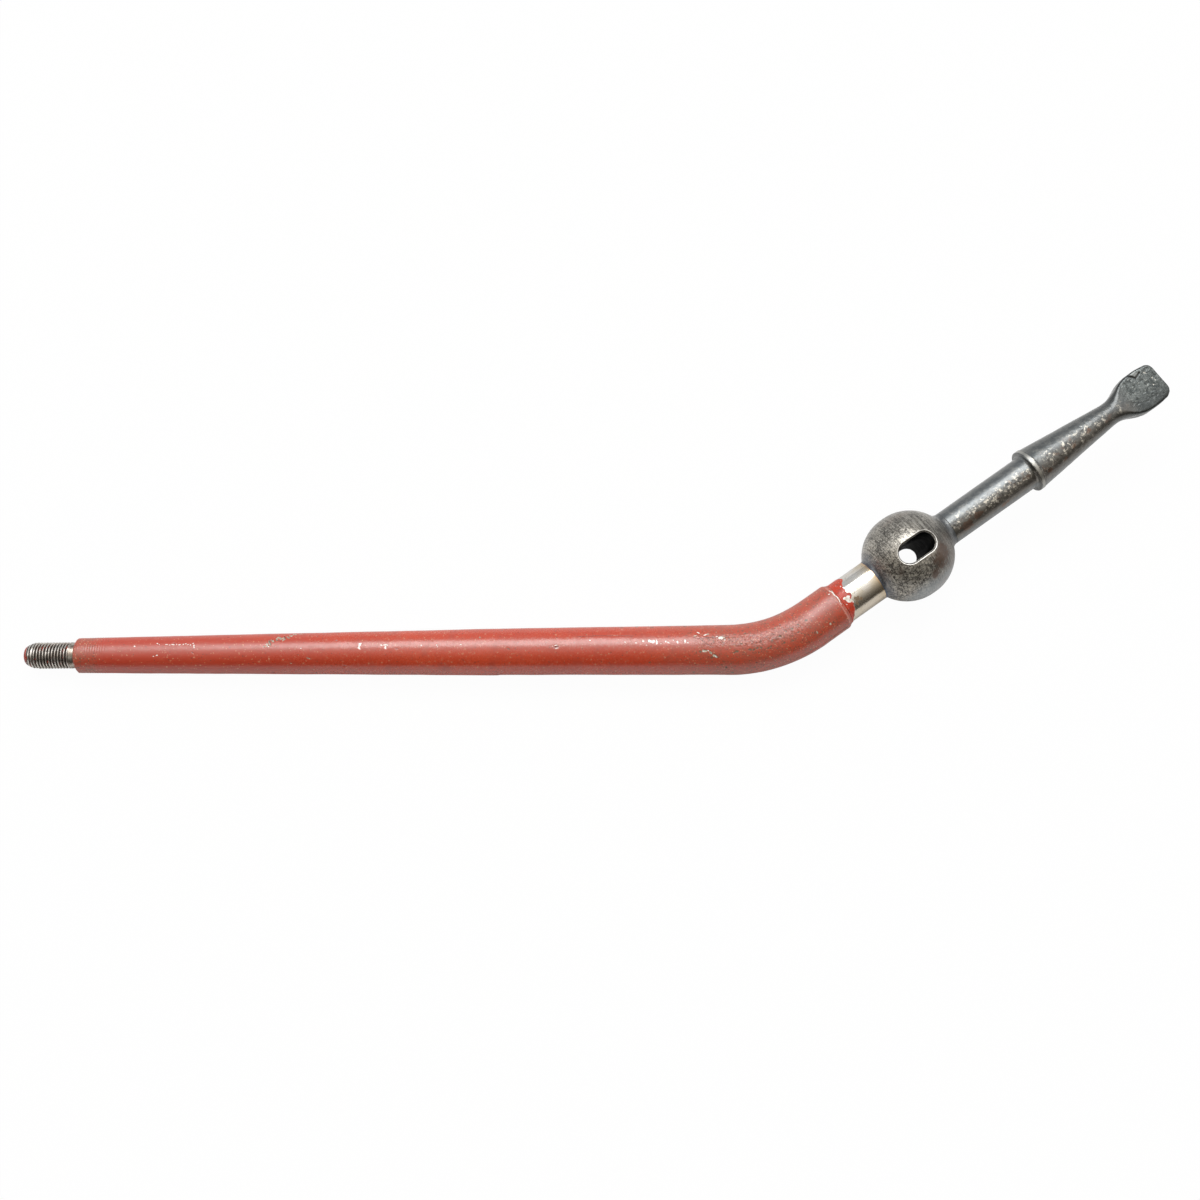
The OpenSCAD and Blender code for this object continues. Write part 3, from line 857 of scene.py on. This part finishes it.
def turnedDistance(plan, p):  # below 0 inside the ball, its fillets and the ends of both bars
    x, rho = p[:, 0], np.hypot(p[:, 1], p[:, 2])
    past = np.abs(x) - plan["land"]
    neckSide = ballSide(plan, past, rho, lever["neckRadius"], plan["fillets"][0])
    return np.where(x < 0, neckSide, ballSide(plan, past, rho, lever["shaftRadius"], plan["fillets"][1]))


def ballDistance(plan, p):
    x, rho = p[:, 0], np.hypot(p[:, 1], p[:, 2])
    body = turnedDistance(plan, p)
    slot = slotDistance(plan, p)
    body = np.maximum(np.maximum(body, slot), (body + slot + plan["rimBevel"]) * 0.7071)
    neckHole = np.minimum(plan["neckSocket"] - rho, -plan["socketX"] - x)
    shaftHole = np.minimum(plan["shaftSocket"] - rho, x - plan["socketX"])
    return np.maximum(body, np.maximum(neckHole, shaftHole))


def slopeOf(plan, p, reach=0.01):
    steps = np.eye(3) * reach
    rise = [ballDistance(plan, p + step) - ballDistance(plan, p - step) for step in steps]
    return np.stack(rise, -1) / (2 * reach)


def makeBall(plan):
    blank = added("ball_blank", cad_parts["pivot_ball"].data.copy())
    grid = blank.modifiers.new("even_grid", "REMESH")
    grid.mode = "VOXEL"
    grid.voxel_size = plan["voxel"] * mm
    bpy.context.view_layer.update()
    ready = blank.evaluated_get(bpy.context.evaluated_depsgraph_get()).to_mesh()
    points = np.empty(len(ready.vertices) * 3)
    ready.vertices.foreach_get("co", points)
    points = points.reshape(-1, 3) / mm
    faces = [list(face.vertices) for face in ready.polygons]
    bpy.data.objects.remove(blank)
    for _ in range(6):  # on to the exact surface
        slope = slopeOf(plan, points)
        steep = np.maximum((slope ** 2).sum(-1), 0.2)
        points = points - slope * (ballDistance(plan, points) / steep)[:, None]
    slot = slotDistance(plan, points)
    outer = turnedDistance(plan, points)
    onSkin = ease(1 + outer / 0.3)  # 1 on the turned surface, 0 down the slot and in the sockets
    bevel = plan["rimBevel"]
    nearSkin = ease(1 + outer / 1.4)
    rim = np.maximum(peak(slot + bevel, 0.26), peak(slot + 0.05, 0.26)) * nearSkin
    band = peak(slot + bevel / 2, bevel / 2 + 0.1) * nearSkin
    wall = ease((-outer - 0.5) / 1.6) * peak(slot, 0.2)
    dents = -plan["dentDepth"] * pits(points, 1.5, 81, 0.36) + uneven(points, 5, 3, 83) * 0.06
    dents = np.minimum(dents * onSkin * ease((np.abs(slot) - 0.1) / 0.5), 0.0)
    rimDents = plan["rimDents"] * pits(points, 1.2, 87, 0.35) * rim
    relief = (dents - rimDents) * (np.abs(outer) < 6)
    points = points + unit(slopeOf(plan, points)) * relief[:, None]
    around = np.arctan2(points[:, 1], points[:, 2])
    rust = markCover(points[:, 0], around, plan["radius"], plan["rust"], uneven(points, 2.5, 3, 89) * 1.8)
    fields = {"rim": rim, "band": band, "wall": wall, "rust": rust * onSkin}
    return pieceFrom("pivot_ball_turned", points, faces, fields)


def ballFinish(name):
    ball = Finish(name)
    x, y = ball.axes()
    broad = ball.grain(14, 2)
    cloud = ball.grain(3.6, 5, 0.66)
    speck = ball.grain(0.7, 4, 0.74)
    mottle = ball.grain(1.6, 6, 0.74)
    lines = ball.grain(0.45, 3, 0.6, (1.0, 0.045, 0.045))
    lively = (x + broad * (16 * mm)).within(15, 3, 0.3, 1.0)  # more marked on the neck's side
    lower = (y + cloud * (6 * mm)).within(9, 1)
    ball.colour = ball.mix(cloud.between(0.41, 0.57), (0.155, 0.145, 0.125), (0.345, 0.323, 0.28))
    ball.over(lines.between(0.52, 0.6) * 0.6, (0.52, 0.5, 0.45))
    ball.over(lines.between(0.48, 0.4) * 0.65, (0.07, 0.065, 0.058))
    marked = lively * lower.between(0.0, 1.0, 0.35, 1.0)
    pale = mottle.between(0.535, 0.555) * marked
    ball.over(pale * 0.7, (0.62, 0.58, 0.5))
    hollow = mottle.between(0.46, 0.435) * marked
    ball.over(hollow * 0.72, (0.06, 0.052, 0.044))
    dotted = speck.between(0.57, 0.595) * lively
    ball.over(dotted * 0.75, (0.74, 0.7, 0.62))
    ball.over(speck.between(0.435, 0.41) * 0.85, (0.04, 0.036, 0.032))
    shade = x.within(3, 9) * lower
    ball.over(shade * 0.5, (0.11, 0.1, 0.09))
    # painted reflection: paler and bluer along the ball's bottom edge, where the white table reflects
    ball.over(y.within(-12, -17) * 0.7, (0.33, 0.36, 0.38))
    brown = broad.between(0.5, 0.64) * cloud.between(0.4, 0.62) * 0.4
    brown = brown.most(ball.field("rust") * mottle.between(0.3, 0.55, 0.4, 0.95))
    ball.over(brown, (0.125, 0.08, 0.058))
    fromNeck = x + ball.grain(4, 3) * (2.6 * mm)
    blue = fromNeck.within(neckX + 5.8, neckX + 2.4)
    ball.over(blue * 0.7, (0.12, 0.135, 0.165))
    foot = fromNeck.within(neckX + 2.5, neckX + 1.5)
    footTint = ball.mix(y.within(3, -6), (0.075, 0.078, 0.1), (0.05, 0.1, 0.2))
    ball.over(foot * 0.75, footTint)
    fromShaft = x - ball.grain(4, 3) * (3.0 * mm)
    pool = fromShaft.within(shaftX - 6.0, shaftX - 3.0)
    ball.over(pool * 0.6, (0.105, 0.125, 0.145))
    ball.over(ball.field("band") * 0.7, (0.17, 0.16, 0.145))
    rim = (ball.field("rim") + cloud).between(0.75, 1.15)
    ball.over(rim, (0.78, 0.76, 0.72))
    # painted shade: the slot's wall near black, as shade down the slot, with faint rings
    wall = ball.field("wall")
    ring = ball.grain(1.2, 2, 0.5, (0.1, 0.1, 1.0)).between(0.55, 0.62, 0.014, 0.034)
    ball.over(wall, put(ball.tree, "CombineColor", {0: ring, 1: ring, 2: ring}))
    ball.bump(lines, 0.026)
    ball.bump(mottle, 0.1)
    rough = cloud.between(0.3, 0.7, 0.45, 0.34) + lower * 0.1 - rim * 0.15 + wall * 0.2
    coat = wall.between(0, 1, 0.8, 0.1)
    ball.lay({"Metallic": 1.0, "Roughness": rough, "Coat Weight": coat, "Coat Roughness": 0.22})
    return ball


dress(makeBall(ballPlan), ballFinish("mottled_ball_steel"), "pivot_ball")


# Lower shaft: dark bar, rubbed bright in places, with a small fillet on the collar

shaftPlan = {
    "spigotRadius": 4.75,
    "foot": 1.0,  # fillet against the collar
    "turns": 200,
    "step": 0.2,
    "rust": [(27.0, -32, 6.0, 4.0), (33.0, -26, 5.0, 2.4), (46.0, -50, 4.0, 2.0)],
}


def makeShaft(plan):
    radius, spigot, foot = lever["shaftRadius"], plan["spigotRadius"], plan["foot"]
    floorX, endX = lever["spigotEnd"], collarX + lever["fingerSeat"]
    bends = [k / 6 * math.pi / 2 for k in range(7)]
    outline = outlinePoints([
        (floorX, 0, 0, 2.0), (floorX, spigot, 0.4, 2.0), (shaftX, spigot, 0, 0.6),
        (shaftX, radius, 0, plan["step"]),
        *((collarX - foot + foot * math.sin(bend), radius + foot - foot * math.cos(bend), 0, 0.2)
          for bend in bends),
        (collarX, spigot, 0, 2.0), (endX, spigot, 0.4, 2.0), (endX, 0, 0, 2.0),
    ])
    rings, turn = turnedRings(outline, plan["turns"], shaftAxis)
    x, r = outline[:, 0][:, None], outline[:, 1][:, None]
    outer = (r > spigot + 1.5).astype(float)
    zone = rubbedZone(turn)
    relief = uneven(rings, 7, 2, 91) * 0.05 - 0.07 * pits(rings, 1.1, 93, 0.36) * (0.15 + zone)
    rings = raised(rings, relief * outer * ease((x - shaftX) / 2), 1)
    rust = markCover(x, turn, r, plan["rust"], uneven(rings, 1.8, 3, 95) * 1.8)
    fields = {"rubbed": zone * outer, "rust": rust * outer, "side": np.sin(turn)}
    return closedRings("lower_shaft_bar", rings, 1, fields)


def darkSteelFinish(name, cool, warm, roughLow, roughHigh):
    steel = Finish(name)
    side = steel.field("side")  # 1 along the top, -1 along the bottom
    cloud = steel.grain(2.8, 5, 0.65)
    speck = steel.grain(1.7, 6, 0.75)
    rubbed = steel.field("rubbed")
    # painted reflection tint: the lower side warm, where the warm front of the room reflects, and the top
    # and the bottom edge cool
    plain = side.between(0.3, -0.5) * side.between(-0.92, -0.74)
    under = steel.mix(plain, cool, warm)
    pale = steel.mix(0.35, under, (0.42, 0.405, 0.365))
    steel.colour = steel.mix(cloud.between(0.42, 0.66) * 0.5, under, pale)
    where = rubbed * steel.grain(5.0, 4, 0.65).between(0.43, 0.54)
    lively = speck.between(0.53, 0.57) * where.between(0.0, 1.0, 0.07, 0.9)
    steel.over(lively, (0.76, 0.71, 0.61))
    hollow = speck.between(0.45, 0.4) * where.between(0.0, 1.0, 0.12, 0.9)
    steel.over(hollow, (0.05, 0.045, 0.04))
    rustAt = (steel.field("rust") + cloud).between(0.95, 1.3)
    brownish = steel.grain(3.6, 4, 0.65).between(0.56, 0.66)
    rustAt = rustAt.most(brownish * rubbed * 0.8)
    steel.over(rustAt * 0.7, (0.17, 0.095, 0.06))
    steel.bump(speck, 0.04)
    rough = cloud.between(0.3, 0.7, roughLow, roughHigh) + lively * 0.08
    steel.lay({"Metallic": 1.0, "Roughness": rough, "Coat Weight": 1.0, "Coat Roughness": 0.22})
    return steel


shaftSteel = darkSteelFinish("rubbed_shaft_steel", (0.136, 0.149, 0.154), (0.150, 0.138, 0.120), 0.35, 0.43)
dress(makeShaft(shaftPlan), shaftSteel, "lower_shaft")


# Selector finger: collar with a worn lip, cone, waist and a blade that is flattened to a rounded tip

fingerPlan = {
    "socket": (4.8, 20.05),
    "collarRadius": 9.75,
    "collarLip": 2.6,
    "lipRound": 0.5,
    "coneRadius": 9.5,
    "coneLength": 42.5,
    "waistRadius": 5.05,
    "bladeLength": 26.5,
    "bladeHalfWidth": 9.1,
    "bladeHalfThick": 4.0,
    "flare": 14.8,
    "flatten": 10.2,
    "toe": (8.0, 0.8),
    "tipRounds": (2.6, 3.5),  # the corner on the arm's side, then the other one
    "bladeEdge": 1.2,
    "tipEdge": 0.6,
    "lean": 3.0,
    "turns": 200,
    "step": 0.25,
    "chip": [(123.8, 8.6), (125.8, 5.9), (128.5, 6.8)],  # corners of a V-shaped bruise
    "dings": [(130.3, 5.6, 0.6), (131.8, 2.0, 0.4), (132.2, 0.4, 0.4), (130.4, -0.8, 0.4)],
    "depths": (0.34, 0.12, 0.07),  # of the bruise's line, of its inside and of a ding
    "rust": [(69.3, -36, 2.6, 1.6), (78.5, -39, 2.2, 1.5), (84.8, -22, 3.0, 1.6, 20), (94.3, -11, 3.0, 1.8),
             (103.0, -20, 2.2, 1.4)],
}


def bladeQuarter(half, thick, corner, share):  # from the middle of the face round to the middle of the edge
    bend = np.minimum(np.minimum(corner, half), thick)[:, None]
    flatRun, sideRun = half[:, None] - bend, thick[:, None] - bend
    arcRun = np.maximum(bend * math.pi / 2, 1e-9)
    gone = share[None, :] * (flatRun + arcRun + sideRun)
    bow = np.clip((gone - flatRun) / arcRun, 0, 1) * math.pi / 2
    y = np.minimum(gone, flatRun) + bend * np.sin(bow)
    z = sideRun + bend * np.cos(bow) - np.maximum(gone - flatRun - arcRun, 0)
    return y, z


def bladeSection(plan, s, turns):  # rings of the blade at distances s past the waist, as y and z
    waist = plan["waistRadius"]
    flare, flat = ease(s / plan["flare"]), ease(s / plan["flatten"])
    toeLong, toeIn = plan["toe"]
    side = waist + (plan["bladeHalfWidth"] - waist) * flare
    side = side - toeIn * ease((s - plan["bladeLength"] + toeLong) / toeLong)
    edge = plan["tipEdge"]
    over = np.clip(s - plan["bladeLength"] + edge, 0, edge)
    shrink = edge - np.sqrt(np.maximum(edge ** 2 - over ** 2, 0))
    thick = waist + (plan["bladeHalfThick"] - waist) * flat - shrink
    corner = waist + (plan["bladeEdge"] - waist) * flat
    share = np.arange(turns // 4) / (turns // 4)
    quarters = []
    for tipRound, ySign in zip(plan["tipRounds"], (1, -1)):
        into = np.clip(s - plan["bladeLength"] + tipRound, 0, tipRound)
        half = side - tipRound + np.sqrt(np.maximum(tipRound ** 2 - into ** 2, 0)) - shrink
        for zSign, way in ((1, share), (-1, 1 - share)):
            y, z = bladeQuarter(half, thick, corner, way)
            quarters.append((y * ySign, z * zSign * ySign))
    return [np.concatenate(parts, 1) for parts in zip(*quarters)]


def makeFinger(plan):
    hole, depth = plan["socket"]
    lip, lipRound = plan["collarLip"], plan["lipRound"]
    coneX = collarX + lip
    waistX = coneX + plan["coneLength"]
    outline = outlinePoints([
        (collarX + depth, 0, 0, 2.0), (collarX + depth, hole, 0, 2.0), (collarX, hole, 0, 0.5),
        (collarX, plan["collarRadius"], lipRound, 0.2), (coneX, plan["collarRadius"], 0.35, 0.2),
        (coneX + 0.15, plan["coneRadius"], 0.1, plan["step"]),
        (waistX, plan["waistRadius"], 0, plan["step"]),
    ])
    turnedPart, _ = turnedRings(outline, plan["turns"], shaftAxis)
    length, edge = plan["bladeLength"], plan["tipEdge"]
    tipRound = max(plan["tipRounds"])
    stations = np.concatenate([
        np.arange(plan["step"], length - tipRound, plan["step"]),
        length - tipRound + (tipRound - edge) * np.sin(np.linspace(0, 1, 9) * math.pi / 2)[:-1],
        length - edge * (1 - np.sin(np.linspace(0, 1, 7) * math.pi / 2)),
    ])
    y, z = bladeSection(plan, stations, plan["turns"])
    lean = math.tan(math.radians(plan["lean"])) * (stations / length)[:, None] ** 2
    blade = np.stack([waistX + stations[:, None] - lean * y, y, z], -1)
    cap = blade[-1]
    middle = cap.mean(0)
    caps = np.stack([middle + (cap - middle) * (1 - k / 12) for k in range(1, 13)])
    rings = np.concatenate([turnedPart, blade, caps])
    near = peak(rings[..., 0].mean(1) - waistX, 7)[1:-1, None, None]
    for _ in range(60):  # smoothed where the cone runs into the blade
        middle = (rings[:-2] + rings[2:]) / 2
        rings[1:-1] = rings[1:-1] + (middle - rings[1:-1]) * near * 0.9
    x, y, z = np.moveaxis(rings, -1, 0)  # they follow the rings when these are raised
    _, normalY, normalZ = np.moveaxis(outward(rings, 1), -1, 0)
    # painted shade on the bevel that faces up and forward, to darken the highlight it would catch
    bevelShade = (2 * normalY * normalZ) ** 2 * (normalY > 0) * (normalZ > 0)
    bevelShade = bevelShade * ease((x - waistX + 1) / 5) * ease((waistX + 17 - x) / 5)
    outer = np.ones(rings.shape[:2])
    outer[: int(np.argmax(outline[:, 1] > hole + 1.0))] = 0
    onBlade = ease((x - waistX - 4) / 8)
    wide = uneven(rings, 8, 3, 101) * 0.16
    small = -0.06 * pits(rings, 1.3, 103, 0.4) * (0.6 + 0.6 * onBlade) + uneven(rings, 1.0, 2, 107) * 0.03
    onTop = z > 1
    rag = uneven(rings, 0.8, 2, 109) * 0.8
    # the path is in millimetres, so a degree round a circle of this radius stands for one
    chip = crackCover(x, np.radians(y), math.degrees(1), plan["chip"], 0.7, rag) * onTop
    insideX, insideY = np.mean(plan["chip"], 0)
    inside = np.hypot((x - insideX) / 2.0, (y - insideY - 0.4) / 1.2)
    inside = ease(1.4 - inside - rag * 0.4) * onTop
    dings = np.zeros_like(x)
    ragged = lumps(rings, 0.5, 113) - 0.5
    for dingX, dingY, size in plan["dings"]:
        away = np.hypot(x - dingX, y - dingY) / size
        dings = np.maximum(dings, ease(1.3 - away - ragged) * (z > 2))
    chipDeep, insideDeep, dingDeep = plan["depths"]
    relief = wide + small - chipDeep * chip - insideDeep * inside - dingDeep * dings
    lipWear = peak(x - collarX - lip / 2, lip / 2 + 0.2)
    relief = relief * np.where(x < coneX + 0.4, 0.35, 1.0) - 0.07 * ease((x - bladeTipX + 3) / 2)
    rings[1:-1] = raised(rings, relief * outer, 1)[1:-1]
    around, reach = np.arctan2(y, z), np.hypot(y, z)
    rust = markCover(x, around, reach, plan["rust"], uneven(rings, 1.4, 3, 117) * 1.8)
    zone = rubbedZone(around) * (1 - onBlade)
    fields = {"rubbed": zone * outer, "chip": chip, "inside": inside, "dings": dings, "rust": rust * outer,
              "side": y / np.maximum(reach, 1e-6), "bevelShade": bevelShade, "lip": lipWear * outer,
              "blade": onBlade, "face": ease((collarX + 0.25 - x) / 0.2) * outer}
    return closedRings("selector_finger_forged", rings, 1, fields)


def fingerFinish(name):
    steel = darkSteelFinish(name, (0.108, 0.118, 0.12), (0.115, 0.105, 0.091), 0.36, 0.45)
    x, y = steel.axes()
    under = steel.mix(x.within(90, 110) * 0.45, steel.colour, (0.07, 0.075, 0.075))
    speck = steel.grain(1.0, 5, 0.72)
    patch = steel.grain(1.6, 4, 0.65)
    swirl = steel.grain(3.4, 5, 0.62, twist=1.6)
    flat = steel.mix(swirl.between(0.36, 0.64), (0.042, 0.05, 0.05), (0.142, 0.156, 0.152))
    veins = (swirl - 0.47).reckon("ABSOLUTE").between(0.03, 0.005)
    flat = steel.mix(veins * 0.6, flat, (0.045, 0.05, 0.048))
    flat = steel.mix(speck.between(0.57, 0.61) * 0.5, flat, (0.36, 0.37, 0.34))
    flat = steel.mix(speck.between(0.43, 0.38) * 0.75, flat, (0.03, 0.03, 0.027))
    # painted shade: the blade's face darker towards its lower edge
    flat = steel.mix(y.within(1, -6) * 0.7, flat, (0.045, 0.05, 0.05))
    blade = steel.field("blade")
    steel.colour = steel.mix(blade, under, flat)
    # painted shade on the blade's upper bevel
    steel.over(steel.field("bevelShade") * 0.8, (0.03, 0.033, 0.033))
    lip = (steel.field("lip") + patch).between(0.9, 1.3)
    steel.over(lip * 0.7, (0.46, 0.45, 0.41))
    steel.over(steel.field("face") * 0.6, (0.12, 0.12, 0.115))
    steel.over(steel.field("inside") * 0.6, (0.26, 0.27, 0.26))
    steel.over(steel.field("chip").between(0.25, 0.7), (0.02, 0.02, 0.018))
    struck = (steel.field("dings") + speck).between(0.9, 1.1)
    steel.over(struck, (0.4, 0.39, 0.35))
    steel.lay({"Coat Weight": blade.between(0, 1, 1, 0.45)})
    return steel


dress(makeFinger(fingerPlan), fingerFinish("worn_finger_steel"), "selector_finger")


# Stage, with its sizes in metres: white table that the lever lies on, one long softbox and a soft room

stagePlan = {
    "tableUp": (0.1081, 0.1312, 0.9854),  # the way up from the table, on which the lever lies tilted
    "tableSize": 8.0,
    "tableGap": 0.02,  # millimetres below the lever's lowest point
    "tableWhite": 0.8,
    "seenWhite": 0.97,  # share of the table's look that is plain white
    "mirroredWhite": 0.45,
    "mirroredShare": 0.25,
    "boxTilt": 27.5,  # degrees from straight up, towards the back
    "boxDistance": 3.0,
    "boxLeft": 0.1,  # how far the box is moved to the left
    "boxSize": (2.5, 1.6),
    "boxGlow": 4.1,
    # brightness and warmth of the room by tilt from straight up, from the front to the back
    "room": [(-90, 0.06, 1.0), (-66, 0.10, 1.0), (-50, 0.16, 1.0), (-34, 0.32, 1.0), (-19, 0.62, 0.8),
             (-9, 0.95, 0.5), (9, 1.30, 0.2), (25, 0.95, 0.0), (45, 0.56, -0.1), (65, 0.55, -0.2),
             (90, 0.48, -0.2)],
    "warm": (0.0, -0.07, -0.18),  # what full warmth adds to red, green and blue
}

tableUp = Vector(stagePlan["tableUp"]).normalized()
tableBack = (upWay - tableUp * upWay.dot(tableUp)).normalized()
tableRight = tableBack.cross(tableUp)


def lowestAlong(way):
    lowest = 1e9
    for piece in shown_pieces():
        corners = np.empty(len(piece.data.vertices) * 3)
        piece.data.vertices.foreach_get("co", corners)
        lowest = min(lowest, float((corners.reshape(-1, 3) @ np.array(way)).min()))
    return lowest


def emptyTree(owner):
    owner.use_nodes = True
    owner.node_tree.nodes.clear()
    return owner.node_tree


def mixed(tree, share, first, second):
    return put(tree, "MixShader", {0: share, 1: first, 2: second})


def makeTable(plan):
    half = plan["tableSize"] / 2
    signs = ((-1, -1), (1, -1), (1, 1), (-1, 1))
    corners = [tableRight * a * half + tableBack * b * half for a, b in signs]
    mesh = bpy.data.meshes.new("table")
    mesh.from_pydata(corners, [], [(0, 1, 2, 3)])
    table = added("table", mesh)
    table.location = tableUp * (lowestAlong(tableUp) - plan["tableGap"] * mm)
    finish = bpy.data.materials.new("white_table")
    tree = emptyTree(finish)
    ray = put(tree, "LightPath", {}, "Is Camera Ray")
    white = put(tree, "BsdfDiffuse", {"Color": (plan["tableWhite"],) * 3})
    seen, mirrored = (put(tree, "Emission", {"Color": (1, 1, 1), "Strength": strength})
                      for strength in (1.0, plan["mirroredWhite"]))
    shine = ray.also("Is Glossy Ray").most(ray.also("Is Transmission Ray"))
    other = mixed(tree, shine, white, mixed(tree, plan["mirroredShare"], white, mirrored))
    top = mixed(tree, ray, other, mixed(tree, plan["seenWhite"], white, seen))
    below = put(tree, "NewGeometry", {}, "Backfacing") * ray
    both = mixed(tree, below, top, put(tree, "BsdfTransparent", {}))
    wire(tree.nodes.new("ShaderNodeOutputMaterial"), {"Surface": both})
    mesh.materials.append(finish)
    table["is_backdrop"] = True


def makeSoftbox(plan):
    tilt = math.radians(plan["boxTilt"])
    way = tableUp * math.cos(tilt) + tableBack * math.sin(tilt)
    data = bpy.data.lights.new("softbox", "AREA")
    data.shape = "RECTANGLE"
    data.size, data.size_y = plan["boxSize"]
    data.energy = plan["boxGlow"] * math.pi * data.size * data.size_y
    box = added("softbox", data)
    middle = Vector(cadBox[0]) * 0.5 + Vector(cadBox[1]) * 0.5
    place = middle + way * plan["boxDistance"] - tableRight * plan["boxLeft"]
    box.matrix_world = posed(tableRight, way.cross(tableRight), way, place)
    box.visible_camera = False


def makeRoom(plan):
    world = bpy.data.worlds.new("room")
    bpy.context.scene.world = world
    tree = emptyTree(world)
    way = put(tree, "TexCoord", {}, "Generated")
    back, up = (put(tree, "VectorMath", {0: way, 1: axis}, "Value", operation="DOT_PRODUCT")
                for axis in (tableBack, tableUp))
    tilt = back.reckon("ARCTAN2", up)
    share = put(tree, "MapRange", {"Value": tilt, "From Min": -math.pi, "From Max": math.pi})
    ramp = put(tree, "ValToRGB", {0: share})
    stops = ramp.node.color_ramp.elements
    for degrees, *_ in plan["room"][2:]:
        stops.new(degrees / 360 + 0.5)
    for stop, (degrees, level, warmth) in zip(stops, plan["room"]):
        stop.position = degrees / 360 + 0.5
        stop.color = (*(level / 2 * (1 + warmth * part) for part in plan["warm"]), 1.0)
    ray = put(tree, "LightPath", {}, "Is Camera Ray")
    lit = put(tree, "Background", {"Color": ramp, "Strength": 2.0})
    seen = put(tree, "Background", {"Color": (1, 1, 1), "Strength": 1.0})
    wire(tree.nodes.new("ShaderNodeOutputWorld"), {"Surface": mixed(tree, ray, lit, seen)})


makeTable(stagePlan)
makeSoftbox(stagePlan)
makeRoom(stagePlan)
bpy.context.scene.view_settings.view_transform = "Standard"
print("stage set")
